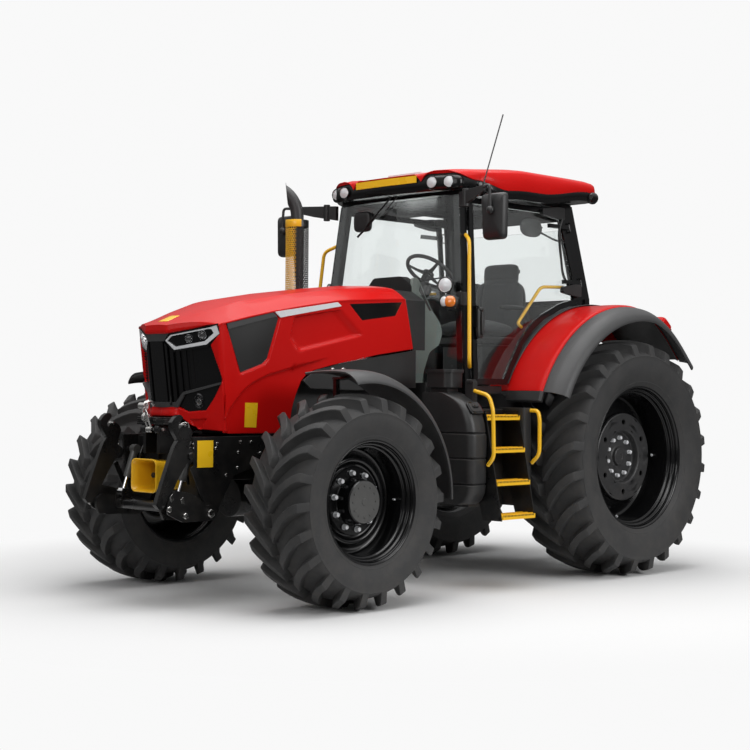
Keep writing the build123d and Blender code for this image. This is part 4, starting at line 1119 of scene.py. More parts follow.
def bevelled(node, width, material):
    """A CAD node's shape with its edges bevelled."""
    body = frame["nodes"][node]["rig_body"]
    return piece(
        f"{node}_edged", body, cad_form(node), material, node, bevel=width, merge=3e-5, flat=0.3, sharp=28)


CAB_FOOT, CAB_TALL, CAB_MIDDLE = 1.47, 1.41, -0.8
DRAWN_IN, FRONT_RAKE, REAR_RAKE = 0.125, 0.107, 0.15
# the rear window's lower edge, and how much shorter it is drawn to swing between the cab's posts
WINDOW_FOOT, WINDOW_SHARE = 2.18, 0.827


def narrowed(points):
    """The cab draws in and rakes back towards its roof: with t the share of its height,
    x' = x (1 - drawn in t) and y' = y + t (rake), the rake going from the front's to the rear's."""
    x, y, z = np.asarray(points, float).T
    t = np.clip((z - CAB_FOOT) / CAB_TALL, 0, 1.06)
    front, rear = smooth_step((CAB_MIDDLE - y) / 0.65), smooth_step((y - CAB_MIDDLE) / 0.6)
    return np.stack([x * (1 - DRAWN_IN * t), y + t * (FRONT_RAKE * front + REAR_RAKE * rear), z], -1)


def cab_shape(form):
    """A form that follows the cab's narrowing."""
    return Form(narrowed(form.points), form.corners, form.sizes, form.finish)


def cab_part(node, width, material, height=1.0):
    """A bevelled copy of one of the cab's CAD shapes, narrowed with the cab:
    z' = foot + height (z - foot) above the rear window's foot, then as narrowed() says."""
    mesh = bevelled(node, width, material).data
    points = np.zeros(len(mesh.vertices) * 3)
    mesh.vertices.foreach_get("co", points)
    at = np.array([0, AXLE_Y, 0])
    points = points.reshape(-1, 3) - at
    z = points[:, 2]
    points[:, 2] = WINDOW_FOOT + (z - WINDOW_FOOT) * np.where(z > WINDOW_FOOT, height, 1.0)
    mesh.vertices.foreach_set("co", (narrowed(points) + at).ravel())
    mesh.update()


# ---- mudguards and fenders ----
FRONT_AXLE_YZ = (-2.95, 0.705)
REAR_AXLE_YZ = (0.0, 0.922)
# sections of the front guard, the rear arch and its lip, columns: x, radius
GUARD_LINE = (
    (0.745, 0.842), (0.752, 0.847), (0.85, 0.858), (1.0, 0.862), (1.11, 0.857), (1.16, 0.845), (1.2, 0.822),
    (1.232, 0.788), (1.236, 0.77))
guard = arch(shell(smooth_profile(GUARD_LINE, 5), 0.011), FRONT_AXLE_YZ, -1.0, 100.0, 90)
bolt_y, bolt_z = (c + 0.861 * f(math.radians(88)) for c, f in zip(FRONT_AXLE_YZ, (math.cos, math.sin)))
guard_form = join(
    guard, bolts([(x, bolt_y, bolt_z) for x in (0.83, 0.93)], (0, 0.035, 1), 0.022, 0.01, finish=1))
pair(
    "mudguard_{}", "knuckle_{}", guard_form, [GREY_PLASTIC, BRIGHT], "front_fender_{}", "black_plastic",
    bevel=0.002)
ARCH_LINE = (
    (0.612, 1.191), (0.64, 1.195), (0.8, 1.197), (1.0, 1.199), (1.08, 1.197), (1.11, 1.192), (1.124, 1.184),
    (1.13, 1.172))
ARCH_LIP = (
    (1.128, 1.176), (1.136, 1.18), (1.18, 1.172), (1.22, 1.16), (1.262, 1.135), (1.288, 1.11), (1.3, 1.08),
    (1.3, 1.062))


def drooped(form):
    """The arch's rear end drops towards the tyre: r' = r (1 - 0.11 s), s the smooth step of
    (88 - a) / 42 with a in degrees."""
    y, z = form.points[:, 1] - REAR_AXLE_YZ[0], form.points[:, 2] - REAR_AXLE_YZ[1]
    angle = np.degrees(np.arctan2(z, y))
    share = 1 - 0.11 * smooth_step((88 - angle) / 42)
    form.points[:, 1], form.points[:, 2] = REAR_AXLE_YZ[0] + y * share, REAR_AXLE_YZ[1] + z * share
    return form


red_arch = drooped(arch(shell(smooth_profile(ARCH_LINE, 4), 0.01), REAR_AXLE_YZ, 48.0, 154.5, 110))
arch_under = arch(
    [(0.63, 1.181), (1.095, 1.181), (1.134, 1.158), (1.134, 1.161), (1.097, 1.184), (0.63, 1.184)],
    REAR_AXLE_YZ, 47.8, 154.0, 90, finish=1)
arch_under = drooped(arch_under)
arch_wall = arch([(0.612, 0.99), (0.62, 0.99), (0.62, 1.187), (0.612, 1.187)], REAR_AXLE_YZ, 60, 115, 50)
piece(
    "rear_arches", "chassis", both(join(red_arch, arch_wall, arch_under)), [RED, PLASTIC], "rear_fenders",
    "red_paint", bevel=0.003)
lip_form = drooped(arch(shell(smooth_profile(ARCH_LIP, 4), 0.012), REAR_AXLE_YZ, 47.0, 154.5, 110))
end_cap = arch(
    [(0.8, 1.15), (1.128, 1.15), (1.136, 1.178), (1.12, 1.194), (0.8, 1.196)], REAR_AXLE_YZ, 154.4, 158.2, 6)
piece(
    "arch_lips", "chassis", both(join(lip_form, changed(end_cap, finish=1))), [GREY_PLASTIC, PLASTIC],
    "fender_lips", "black_plastic", bevel=0.003)
liner = arch(
    [(0.598, 1.201), (0.598, 0.99), (0.61, 0.99), (0.611, 1.199), (0.8, 1.203), (0.8, 1.21)], REAR_AXLE_YZ,
    50, 152, 70)
piece("arch_liner", "chassis", both(liner), GREY_PLASTIC, bevel=0.003)
tail_turn = turn_about((1, 0, 0), -38)
tail_housing = changed(pillow((0, 0, 0), (0.095, 0.075, 0.032), 5), tail_turn, (1.02, 0.57, 1.985))
tail_glass = changed(pillow((0, 0, 0), (0.08, 0.012, 0.024), 5), tail_turn, (1.02, 0.632, 1.938))
piece("tail_lamps", "chassis", both(join(tail_housing, changed(tail_glass, finish=1))), [RED, RED_LENS])

# ---- roof ----
# half of the roof's plan, from the middle of the front round to the middle of the rear (x, y)
ROOF_HALF = (
    (0.0, -1.597), (0.3, -1.587), (0.5, -1.557), (0.66, -1.482), (0.772, -1.32), (0.812, -1.05),
    (0.818, -0.7), (0.812, -0.12), (0.77, 0.02), (0.6, 0.044), (0.0, 0.048))
ROOF_MIDDLE = -0.79
CAP_FOOT = 2.988
# the front edge of the red cap: columns x, z
CAP_FRONT = (
    (0.0, 3.054), (0.325, 3.052), (0.34, 2.996), (0.365, 2.994), (0.4, 3.045), (0.47, 3.064), (0.58, 3.064),
    (0.66, 3.04), (0.73, 3.0), (0.78, 2.99), (0.83, 2.988))


def roof_outline():
    """The roof's plan, eased through its half line and that line's mirror image, as 200 points at
    equal steps of its length."""
    half = np.array(ROOF_HALF)
    whole = np.concatenate([half, (half * [-1, 1])[-2:0:-1]])
    whole = np.vstack([whole, whole[:1]])
    soft = smooth_profile(whole, 8)
    run = np.concatenate([[0], np.cumsum(np.hypot(*np.diff(soft, axis=0).T))])
    at = np.linspace(0, run[-1], 200, endpoint=False)
    return np.stack([np.interp(at, run, soft[:, 0]), np.interp(at, run, soft[:, 1])], -1)


def roof_rows(rows, low=None):
    """Rows of the roof's outline drawn in by a share and set at a height: p = middle + k (outline -
    middle). low gives the first rows' height along the outline."""
    line = roof_outline()
    made = []
    for index, (share, high) in enumerate(rows):
        x, y = line[:, 0] * share, ROOF_MIDDLE + (line[:, 1] - ROOF_MIDDLE) * share
        z = np.full(len(x), high)
        if low is not None:
            z = np.where(index < 4, np.maximum(z, low + 0.004 * index), z)
            front = smooth_step((0.46 - np.abs(x)) / 0.14) * smooth_step((-0.9 - y) / 0.5)
            z = z - front * np.maximum(z - 3.06 - 0.1 * (1 - share), 0)
        sag = smooth_step((y + 1.38) / 0.3) * (
            1 - smooth_step((y + 0.7) / 0.6)) * np.interp(high, [3.0, 3.05], [1, 0])
        z = z + 0.03 * smooth_step((y + 1.35) / 0.5) - 0.068 * sag
        made.append(np.stack([x, y, z], -1))
    return np.array(made)


edge_line = roof_outline()
front_share = smooth_step((-1.3 - edge_line[:, 1]) / 0.16)
cap_front = np.array(CAP_FRONT)
cap_low = CAP_FOOT + (np.interp(np.abs(edge_line[:, 0]), *cap_front.T) - CAP_FOOT) * front_share
CAP_ROWS = (
    (0.98, 2.986), (1.0, 2.986), (1.003, 2.992), (1.0, 3.03), (0.994, 3.052), (0.975, 3.07), (0.93, 3.086),
    (0.84, 3.098), (0.7, 3.107), (0.5, 3.114), (0.25, 3.117), (0.02, 3.118))
roof_cap = surface(roof_rows(CAP_ROWS, cap_low), round_v=True, caps=True)
piece("roof_cap", "chassis", roof_cap, RED, "roof_shell", "red_paint", sharp=38)
VISOR_ROWS = (
    (0.9, 2.924), (0.965, 2.922), (0.985, 2.926), (0.996, 2.94), (1.0, 2.96), (0.999, 2.988), (0.992, 3.01),
    (0.985, 3.05), (0.96, 3.06), (0.9, 3.062))
visor = surface(roof_rows(VISOR_ROWS), round_v=True, caps=True)
strip_u = np.linspace(-0.325, 0.325, 25)
half_roof = np.array(ROOF_HALF)
strip_y = np.interp(np.abs(strip_u), half_roof[:4, 0], half_roof[:4, 1]) - 0.006
strip_rows = [(0.012, 2.994), (0.0, 2.995), (0.0, 3.048), (0.012, 3.049)]
strip = surface(
    np.array([np.stack([strip_u, strip_y + back, np.full(25, high)], -1) for back, high in strip_rows]),
    finish=1)
lamp_pods = []
for x, y, turn in ((0.612, -1.54, 28), (0.48, -1.588, 12), (-0.585, -1.545, 8), (-0.455, -1.592, 8)):
    lamp_pods.append(changed(round_lamp((x, y, 2.984), 0.041, turn, finish=(0, 2, 3))))
pod = changed(pillow((0, 0, 0), (0.148, 0.06, 0.06), 3.2), turn_about((0, 0, 1), 20), (0.545, -1.505, 2.982))
rear_lamp = changed(
    turned(
        [(-0.05, 0.0), (-0.05, 0.028), (-0.02, 0.046), (0.03, 0.048), (0.034, 0.04), (0.03, 0.0)], axis="y",
        steps=28),
    turn_about((0, 0, 1), 15), (0.795, -0.045, 2.985))
hatch = block(-0.1, 0.24, -1.46, -1.34, 3.06, 3.098, 4)
piece("roof_visor", "chassis", join(visor, strip, hatch, both(pod), *lamp_pods, both(rear_lamp)),
      [GLOSS_BLACK, STICKER, BRIGHT, LAMP_WHITE, SILVER], "roof_base", "black_plastic", sharp=36)

# ---- exhaust ----
STACK = (-0.59, -1.965)


def perforated(radius, low, high, around, rows, hole, centre, finish_at):
    """A round guard with staggered holes: each cell is a ring of eight faces between its
    rectangle and its hole, every second row moved by half a cell."""
    row, column = np.meshgrid(np.arange(rows), np.arange(around), indexing="ij")
    wide, tall = 2 * math.pi * radius / around, (high - low) / rows
    middle_u = (column + 0.5 * (row % 2)) * wide
    middle_z = low + (row + 0.5) * tall
    ring = np.arange(8) * math.pi / 4
    square_u = np.array([1, 1, 0, -1, -1, -1, 0, 1]) * wide / 2
    square_z = np.array([0, 1, 1, 1, 0, -1, -1, -1]) * tall / 2
    u = np.stack([middle_u[..., None] + square_u, middle_u[..., None] + hole * np.cos(ring)], 2)
    z = np.stack([middle_z[..., None] + square_z, middle_z[..., None] + hole * np.sin(ring)], 2)
    angle = u / radius
    points = np.stack([centre[0] + radius * np.cos(angle), centre[1] + radius * np.sin(angle), z], -1)
    first = (np.arange(rows * around) * 16)[:, None]
    k = np.arange(8)
    quads = np.stack([first + k, first + (k + 1) % 8, first + 8 + (k + 1) % 8, first + 8 + k], -1)
    mark = finish_at(np.degrees(middle_u / radius) % 360)
    return Form(points, quads.ravel(), np.full(rows * around * 8, 4), np.repeat(mark.ravel(), 8))


def yellow_side(angle):
    """The half of the guard that faces the front and right is yellow."""
    return np.where((angle > 150) & (angle < 308), 1, 0)


guard_mesh = perforated(0.089, 2.13, 2.69, 30, 34, 0.0078, STACK, yellow_side)
piece(
    "exhaust_guard", "chassis", guard_mesh, [STEEL_BLACK, YELLOW], "exhaust_shield", "black_steel",
    wall=0.002, merge=1e-4, sharp=60)
band_angle = np.radians(np.linspace(150, 338, 30))
band_rows = [(0.091, 2.69), (0.092, 2.692), (0.092, 2.744), (0.091, 2.746), (0.086, 2.746)]
yellow_band = surface(
    np.array([
        np.stack([STACK[0] + r * np.cos(band_angle), STACK[1] + r * np.sin(band_angle), np.full(30, z)], -1)
        for r, z in band_rows]),
    finish=1)
dark_band = turned(
    [(2.69, 0.0895), (2.744, 0.0895), (2.746, 0.085), (2.7, 0.083)], (STACK[0], STACK[1], 0), "z", 48)
foot_band = turned(
    [(2.1, 0.0895), (2.14, 0.09), (2.14, 0.086), (2.1, 0.084)], (STACK[0], STACK[1], 0), "z", 48)
piece("exhaust_bands", "chassis", join(yellow_band, dark_band, foot_band), [STEEL_BLACK, YELLOW])
BEND = np.array([-0.7071, -0.7071, 0.0])
# the pipe's line, columns: how far out along the bend, z
PIPE_TOP = ((0.0, 2.1), (0.0, 2.79), (0.01, 2.85), (0.042, 2.912), (0.089, 2.962), (0.15, 2.995))
pipe = tube([tuple(BEND * out + [STACK[0], STACK[1], high]) for out, high in PIPE_TOP], 0.05, 0.09, 28, 8)
past = np.maximum((pipe.points - [STACK[0], STACK[1], 0]) @ BEND - 0.09 + (3.02 - pipe.points[:, 2]) * 0.1, 0)
pipe.points -= past[:, None] * BEND
muffler = turned([(1.545, 0.0), (1.545, 0.07), (1.56, 0.078), (2.08, 0.078), (2.1, 0.06), (2.12, 0.05)],
                 (STACK[0], STACK[1], 0), "z", 40)
elbow = block(-0.7, -0.27, -1.995, -1.935, 1.545, 1.6)
piece(
    "exhaust_stack", "chassis", join(pipe, muffler, elbow), CHARCOAL, "exhaust_pipe", "black_steel", sharp=40)

# ---- mirrors and aerial ----
MIRROR_SHAPE = soft_outline(((1.048, 2.85), (1.268, 2.85), (1.262, 2.515), (1.068, 2.515)), 0.035, 5)


def mirror_housing():
    """The housing's back: rings of its outline, each drawn in to a share k of it and set at a
    depth d, p = m + k (o - m) across and y = y0 + d."""
    outline = np.asarray(MIRROR_SHAPE, float)
    middle = outline.mean(axis=0)
    rows = [
        (0.94, 0.03), (0.99, 0.027), (1.0, 0.016), (0.992, -0.004), (0.96, -0.02), (0.9, -0.029),
        (0.6, -0.038), (0.3, -0.042), (0.02, -0.043)]
    points = [np.stack([middle[0] + (outline[:, 0] - middle[0]) * k, np.full(len(outline), -1.66 + d),
                        middle[1] + (outline[:, 1] - middle[1]) * k], -1) for k, d in rows]
    return surface(np.array(points), round_v=True, caps=True)


mirror_glass = changed(
    prism(
        [(1.158 + (x - 1.158) * 0.86, 2.68 + (z - 2.68) * 0.9) for x, z in MIRROR_SHAPE], "xz", -1.632, -1.627
    ),
    finish=1)
mirror_arm = join(lofted(np.array([
    [(0.715, -1.515, 2.79), (0.715, -1.545, 2.79), (0.715, -1.545, 2.905), (0.715, -1.515, 2.905)],
    [(0.9, -1.59, 2.825), (0.9, -1.62, 2.825), (0.9, -1.62, 2.91), (0.9, -1.59, 2.91)],
    [(1.08, -1.665, 2.87), (1.08, -1.69, 2.87), (1.08, -1.69, 2.915), (1.08, -1.665, 2.915)]])),
    rod((0.8, -1.565, 2.79), (0.8, -1.565, 2.92), 0.026))
mirror_stem = tube(((1.07, -1.678, 2.9), (1.158, -1.712, 2.905), (1.168, -1.716, 2.73)), 0.011, 0.03, 12)
knob = join(
    pillow((1.166, -1.716, 2.722), (0.03, 0.022, 0.03), 2.2, 12),
    rod((1.166, -1.716, 2.722), (1.166, -1.69, 2.722), 0.02))
mirror_form = changed(
    join(mirror_housing(), mirror_glass, mirror_arm, mirror_stem, knob), move=(-0.055, 0.06, 0))
piece("mirror_pair", "chassis", both(mirror_form), [PLASTIC, MIRROR], "mirrors", "black_plastic", bevel=0.003)

# ---- tank, battery box, steps ----
# the tank's side, columns: z, x, and the heights of its grooves
TANK_SIDE = (
    (0.62, 0.985), (0.628, 1.01), (0.65, 1.04), (0.7, 1.068), (0.76, 1.078), (1.1, 1.08), (1.2, 1.062),
    (1.29, 1.03), (1.335, 0.995), (1.368, 0.95), (1.392, 0.9), (1.408, 0.86), (1.418, 0.83), (1.421, 0.8))
GROOVES = (0.765, 0.95, 1.13)


def tank_body():
    """Plan outlines of the tank at rising heights: each a rectangle with rounded outer corners,
    as wide as the side line says, drawn in by 12 mm exp(-((z - g) / 5 mm)^2) at every groove g."""
    side = np.array(TANK_SIDE)
    z = np.unique(
        np.round(
            np.concatenate([side[:, 0], *[g + np.array([-0.01, -0.004, 0.0, 0.004, 0.01]) for g in GROOVES]]),
            4))
    groove = sum(np.exp(-(((z - g) / 0.005) ** 2)) for g in GROOVES) * 0.012
    out = np.interp(z, side[:, 0], side[:, 1]) - groove
    angle = np.linspace(0, math.pi / 2, 9)
    r = 0.055
    front = np.stack([-r + r * np.cos(angle), r - r * np.sin(angle)], -1)[::-1]
    rows = []
    for height, x, g in zip(z, out, groove):
        y0, y1 = -1.8 + g, -1.606
        corner = np.stack([x + front[:, 0], y0 + front[:, 1]], -1)
        back = np.stack([x + front[::-1, 0], y1 - front[::-1, 1]], -1)
        line = np.concatenate([[(0.6, y0)], corner, back, [(0.6, y1)]])
        rows.append(np.column_stack([line, np.full(len(line), height)]))
    return surface(np.array(rows), round_v=True, caps=True)


tank_box = join(
    prism(
        soft_outline(((0.64, -1.8), (0.815, -1.8), (0.85, -1.76), (0.85, -1.64), (0.64, -1.64)), 0.015, 3),
        "xy", 1.455, 1.565),
    prism(
        soft_outline(
            ((0.63, -1.808), (0.82, -1.808), (0.86, -1.764), (0.86, -1.632), (0.63, -1.632)), 0.015, 3),
        "xy", 1.562, 1.586),
    block(0.66, 0.82, -1.77, -1.66, 1.4, 1.46))
tank_latch = join(
    changed(
        pillow((0, 0, 0), (0.01, 0.07, 0.052), 5, finish=1), turn_about((0, 1, 0), -38), (1.02, -1.7, 1.308)),
    changed(pillow((0, 0, 0), (0.006, 0.056, 0.038), 5), turn_about((0, 1, 0), -38), (1.027, -1.7, 1.313)),
    changed(
        pillow((0, 0, 0), (0.006, 0.03, 0.01), 4, finish=1), turn_about((0, 1, 0), -38),
        (1.032, -1.705, 1.322)))
post = join(
    block(0.89, 0.965, -1.66, -1.612, 1.33, 1.5),
    prism(
        soft_outline(((-1.665, 1.48), (-1.605, 1.48), (-1.605, 1.515), (-1.665, 1.515)), 0.01, 3), "yz",
        0.905, 0.95))
mid_box = join(
    block(0.6, 0.88, -1.606, -1.222, 0.588, 1.3), block(0.56, 0.6, -1.3, -0.58, 0.9, 1.45),
    block(0.252, 0.6, -1.78, -1.72, 0.9, 1.0), block(0.252, 0.6, -1.2, -1.14, 0.9, 1.0))
chest = prism(
    soft_outline(((0.6, -1.222), (1.08, -1.222), (1.08, -1.13), (0.6, -1.13)), 0.02, 4), "xy", 0.59, 1.31)
tank_form = join(tank_body(), tank_box, tank_latch, post, mid_box, chest)
piece(
    "tank_left", "chassis", tank_form, [PLASTIC, GLOSS_BLACK], "fuel_tank", "black_plastic", bevel=0.003,
    sharp=36)
piece(
    "tank_right", "chassis", flipped(tank_form), [PLASTIC, GLOSS_BLACK], "battery_box", "black_plastic",
    bevel=0.003, sharp=36)
# the steps, columns: z, x of the outer edge
TREADS = ((0.53, 1.2), (0.77, 1.15), (1.003, 1.1), (1.237, 1.05))


def tread(z, x):
    """A step: a folded plate, and teeth along its top, z = h |saw(y)|, in three rows."""
    y = np.linspace(-1.59, -1.238, 61)
    saw = np.where(np.arange(61) % 2 == 0, 0.0, 0.007)
    rows = []
    for at in (0.012, 0.06, 0.108):
        line = [
            np.stack([np.full(61, x - at - w), y, z + 0.016 + saw * k], -1)
            for w, k in ((0.0, 0), (0.001, 1), (0.012, 1), (0.013, 0))]
        rows.append(surface(np.array(line)))
    plate = block(max(x - 0.17, 0.884), x, -1.596, -1.232, z - 0.016, z + 0.016)
    # the slots along the step's edge are solid black blocks: painted shade where the openings are
    gap = block(x - 0.006, x + 0.0008, -1.588, -1.58, z + 0.004, z + 0.0164, 1)
    return join(plate, *rows, copies(gap, [(0, step, 0) for step in np.arange(22) * 0.0158]))


# rails: two beside the steps and one up the cab's front post
RAILS = (
    [
        (0.93, -1.64, 1.385), (0.93, -1.64, 1.44), (1.1, -1.64, 1.4), (1.14, -1.64, 1.3), (1.15, -1.64, 0.96),
        (1.093, -1.64, 0.9)],
    [
        (1.081, -1.145, 1.29), (1.15, -1.145, 1.29), (1.165, -1.145, 1.23), (1.165, -1.145, 0.97),
        (1.093, -1.145, 0.905)],
    [(0.808, -1.52, 1.61), (0.86, -1.58, 1.64), (0.86, -1.58, 2.54), (0.762, -1.52, 2.59)])
rails = [tube(line, 0.0145, 0.045, 16, 7) for line in RAILS]
steps_form = join(*[tread(z, x) for z, x in TREADS], *rails[:2], cab_shape(rails[2]))
piece(
    "yellow_steps", "chassis", both(steps_form), [YELLOW, STEEL_BLACK], "steps_and_rails", "yellow_paint",
    bevel=0.002)

# ---- CAD shapes with bevelled edges ----
EDGED = {
    "cab_floor": (0.004, PLASTIC), "engine_cowl": (0.004, PLASTIC), "side_console": (0.02, PLASTIC),
    "seat_base": (0.02, PLASTIC), "front_hitch_frame": (0.003, STEEL_BLACK),
    "lift_rods": (0.002, STEEL_BLACK), "tie_rod": (0.002, STEEL_BLACK), "engine_block": (0.01, CHARCOAL),
    "transmission": (0.012, CHARCOAL), "rear_axle": (0.008, CHARCOAL), "front_axle": (0.012, STEEL_BLACK),
    "front_frame": (0.006, STEEL_BLACK), "front_lift_arms": (0.003, STEEL_BLACK),
    "knuckle_left": (0.006, STEEL_BLACK), "knuckle_right": (0.006, STEEL_BLACK),
    "ladder_frames": (0.002, STEEL_BLACK), "rear_hitch_frame": (0.004, STEEL_BLACK),
    "rear_lift_arms": (0.004, STEEL_BLACK), "lower_link_left": (0.004, STEEL_BLACK),
    "lower_link_right": (0.004, STEEL_BLACK)}
for node, (width, material) in EDGED.items():
    bevelled(node, width, material)
for node, width in (("cab_frame", 0.012), ("door_left", 0.008), ("door_right", 0.008)):
    cab_part(node, width, GLOSS_BLACK)
for node in ("door_glass_left", "door_glass_right", "windscreen"):
    cab_part(node, 0.0015, GLASS)
cab_part("rear_window", 0.0015, GLASS, WINDOW_SHARE)

# ---- front linkage ----
# plates of the lift arm and its hook, (y, z)
HOOK_PLATE = (
    (-3.861, 1.262), (-3.842, 1.246), (-3.858, 1.224), (-3.88, 1.191), (-3.873, 1.167), (-3.86, 1.188),
    (-3.832, 1.202), (-3.798, 1.193), (-3.777, 1.174), (-3.764, 1.146), (-3.783, 1.097), (-3.792, 1.048),
    (-3.755, 1.025), (-3.74, 0.99), (-3.76, 0.96), (-3.809, 0.95), (-3.87, 0.864), (-3.93, 0.758),
    (-3.978, 0.663), (-4.03, 0.662), (-4.055, 0.69), (-4.005, 0.826), (-3.939, 0.997), (-3.91, 1.061),
    (-3.883, 1.099), (-3.911, 1.137), (-3.935, 1.181), (-3.935, 1.214), (-3.91, 1.246), (-3.883, 1.262))
hook_form = join(
    prism(HOOK_PLATE, "yz", 0.372, 0.408), bolt((0.408, -3.783, 0.998), (1, 0, 0), 0.04, 0.014, 0.03),
    bolt((0.408, -3.76, 1.074), (1, 0, 0), 0.012, 0.006, finish=1),
    bolt((0.408, -3.757, 1.047), (1, 0, 0), 0.012, 0.006, finish=1),
    tube(
        ((0.415, -3.868, 1.205), (0.428, -3.845, 1.214), (0.428, -3.815, 1.208), (0.415, -3.8, 1.18)), 0.004,
        0.01, 8, finish=1),
    rod((0.36, -3.835, 1.195), (0.425, -3.835, 1.195), 0.008, finish=1))
pair(
    "hook_plate_{}", "front_hook_{}", hook_form, [STEEL_BLACK, BRIGHT], "front_hook_{}", "black_steel",
    bevel=0.003)
ARM_PLATE = (
    (-3.975, 0.69), (-3.921, 0.782), (-3.798, 0.757), (-3.721, 0.725), (-3.655, 0.668), (-3.632, 0.676),
    (-3.6, 0.674), (-3.575, 0.655), (-3.566, 0.625), (-3.578, 0.59), (-3.606, 0.573), (-3.851, 0.572),
    (-3.975, 0.63))
BRACE = ((-3.655, 0.64), (-3.612, 0.655), (-3.762, 0.935), (-3.795, 0.92))
arm_form = join(
    prism(soft_outline(ARM_PLATE, 0.015, 3), "yz", 0.412, 0.426),
    prism(soft_outline(BRACE, 0.012, 3), "yz", 0.416, 0.424),
    bolt((0.426, -3.967, 0.662), (1, 0, 0), 0.036, 0.012, 0.026, finish=1),
    bolt((0.426, -3.837, 0.614), (1, 0, 0), 0.036, 0.012, 0.026, finish=1),
    bolt((0.426, -3.63, 0.62), (1, 0, 0), 0.05, 0.016, 0.038, finish=1),
    prism(((-3.96, 0.735), (-3.938, 0.76), (-3.925, 0.722), (-3.947, 0.705)), "yz", 0.4262, 0.4275, 1),
    prism(((-3.872, 0.72), (-3.85, 0.733), (-3.838, 0.695), (-3.86, 0.69)), "yz", 0.4262, 0.4275, 1))
piece("lift_arm_plates", "front_lift", both(arm_form), [STEEL_BLACK, BRIGHT], bevel=0.002)


def guard_ring():
    """The shaft guard: rounded outlines from its rear edge forward, out over the lip and back inside."""
    outline = np.array(soft_outline(((-0.13, 0.75), (0.13, 0.75), (0.13, 0.96), (-0.13, 0.96)), 0.045, 6))
    rows = [
        (-3.62, 0.9), (-3.7, 0.91), (-3.79, 0.95), (-3.83, 1.02), (-3.842, 1.06), (-3.85, 1.06),
        (-3.853, 1.02), (-3.846, 0.96), (-3.8, 0.88), (-3.7, 0.84), (-3.62, 0.83)]
    points = [
        np.stack([outline[:, 0] * k, np.full(len(outline), y), 0.855 + (outline[:, 1] - 0.855) * k], -1)
        for y, k in rows]
    return surface(np.array(points), round_v=True, round_u=True)


piece("shaft_guard", "chassis", guard_ring(), YELLOW, "pto_guard", "yellow_paint", sharp=50)
hitch_bolts = bolts(
    [
        (0.392, y, z)
        for y, z in (
            (-3.551, 1.07), (-3.35, 1.078), (-3.369, 1.01), (-3.472, 0.863), (-3.375, 0.908), (-3.258, 1.076),
            (-3.18, 1.0), (-3.56, 1.04))],
    (1, 0, 0), 0.02, 0.008)
post_heads = join(
    *[rod((x - 0.022, -3.775, 1.16), (x + 0.022, -3.775, 1.16), 0.034, finish=1) for x in (-0.075, 0.075)],
    rod((-0.11, -3.775, 1.16), (0.11, -3.775, 1.16), 0.012))
link_bars = join(
    both(tube(((0.016, -3.797, 1.155), (0.022, -3.835, 1.24), (0.012, -3.862, 1.32)), 0.0085, 0.03, 10)),
    rod((-0.03, -3.858, 1.315), (0.03, -3.858, 1.315), 0.024),
    rod((-0.03, -3.797, 1.158), (0.03, -3.797, 1.158), 0.022),
    rod((-0.012, -3.835, 1.24), (0.012, -3.835, 1.24), 0.03),
    tube(((0.0, -3.85, 1.33), (0.0, -3.8, 1.352), (0.0, -3.77, 1.32)), 0.012, 0.02, 10))
piece(
    "link_parts", "chassis", join(both(hitch_bolts), post_heads, link_bars), [BRIGHT, STEEL_BLACK],
    bevel=0.002)
chin_rows = [
    block(-0.15, 0.15, -3.8 + 0.004 * (k % 2), -3.6, 1.19 + 0.013 * k, 1.203 + 0.013 * k) for k in range(4)]
frame_detail = join(
    *chin_rows, rod((0.2, -3.64, 0.98), (0.2, -3.617, 0.98), 0.055),
    rod((0.2, -3.65, 0.98), (0.2, -3.617, 0.98), 0.025), block(-0.28, -0.12, -3.64, -3.617, 0.9, 1.06),
    *[
        tube(((s * 0.24, -3.64, 1.08), (s * 0.24, -3.7, 1.0), (s * 0.27, -3.69, 0.8)), 0.012, 0.04, 10)
        for s in (1, -1)])
piece("frame_fittings", "chassis", frame_detail, STEEL_BLACK, bevel=0.003)

# ---- labels, blank ----
LABEL_SIDE = ((-3.316, 1.341), (-3.206, 1.339), (-3.211, 1.173), (-3.314, 1.177))
piece("label_hood", "hood", on_side(side_patch(LABEL_SIDE, -0.0182, -0.0165)), STICKER)
piece("label_frame", "chassis", block(0.392, 0.3932, -3.713, -3.581, 0.918, 1.094), STICKER)
patch_u, patch_v = np.meshgrid(np.linspace(-0.055, 0.05, 9), np.linspace(-3.705, -3.6, 9), indexing="ij")
patch = surface(np.stack([patch_u, patch_v, top_height(patch_u, patch_v) + 0.0012], -1))
piece("patch_nose", "hood", patch, STICKER, wall=0.0008)

# ---- lamps by the cab's front post ----
side_lamps = join(
    changed(round_lamp((0, 0, 0), 0.052, 24, finish=(0, 1, 2)), move=(0.672, -1.65, 2.212)),
    changed(pillow((0, 0, 0), (0.074, 0.032, 0.052), 2.4), turn_about((0, 0, 1), 24), (0.712, -1.64, 2.088)),
    changed(
        pillow((0, 0, 0), (0.036, 0.02, 0.038), 2.2, finish=2), turn_about((0, 0, 1), 24),
        (0.688, -1.668, 2.088)),
    changed(
        pillow((0, 0, 0), (0.046, 0.024, 0.042), 2.2, finish=3), turn_about((0, 0, 1), 24),
        (0.73, -1.654, 2.088)),
    tube(
        ((0.795, -1.545, 2.11), (0.76, -1.6, 2.11), (0.69, -1.615, 2.11), (0.68, -1.61, 2.2)), 0.013, 0.02, 10
    ),
    block(0.74, 0.8, -1.6, -1.54, 2.06, 2.16))
piece(
    "side_lamps", "chassis", both(cab_shape(side_lamps)), [PLASTIC, BRIGHT, LAMP_WHITE, AMBER_GLASS],
    bevel=0.003)

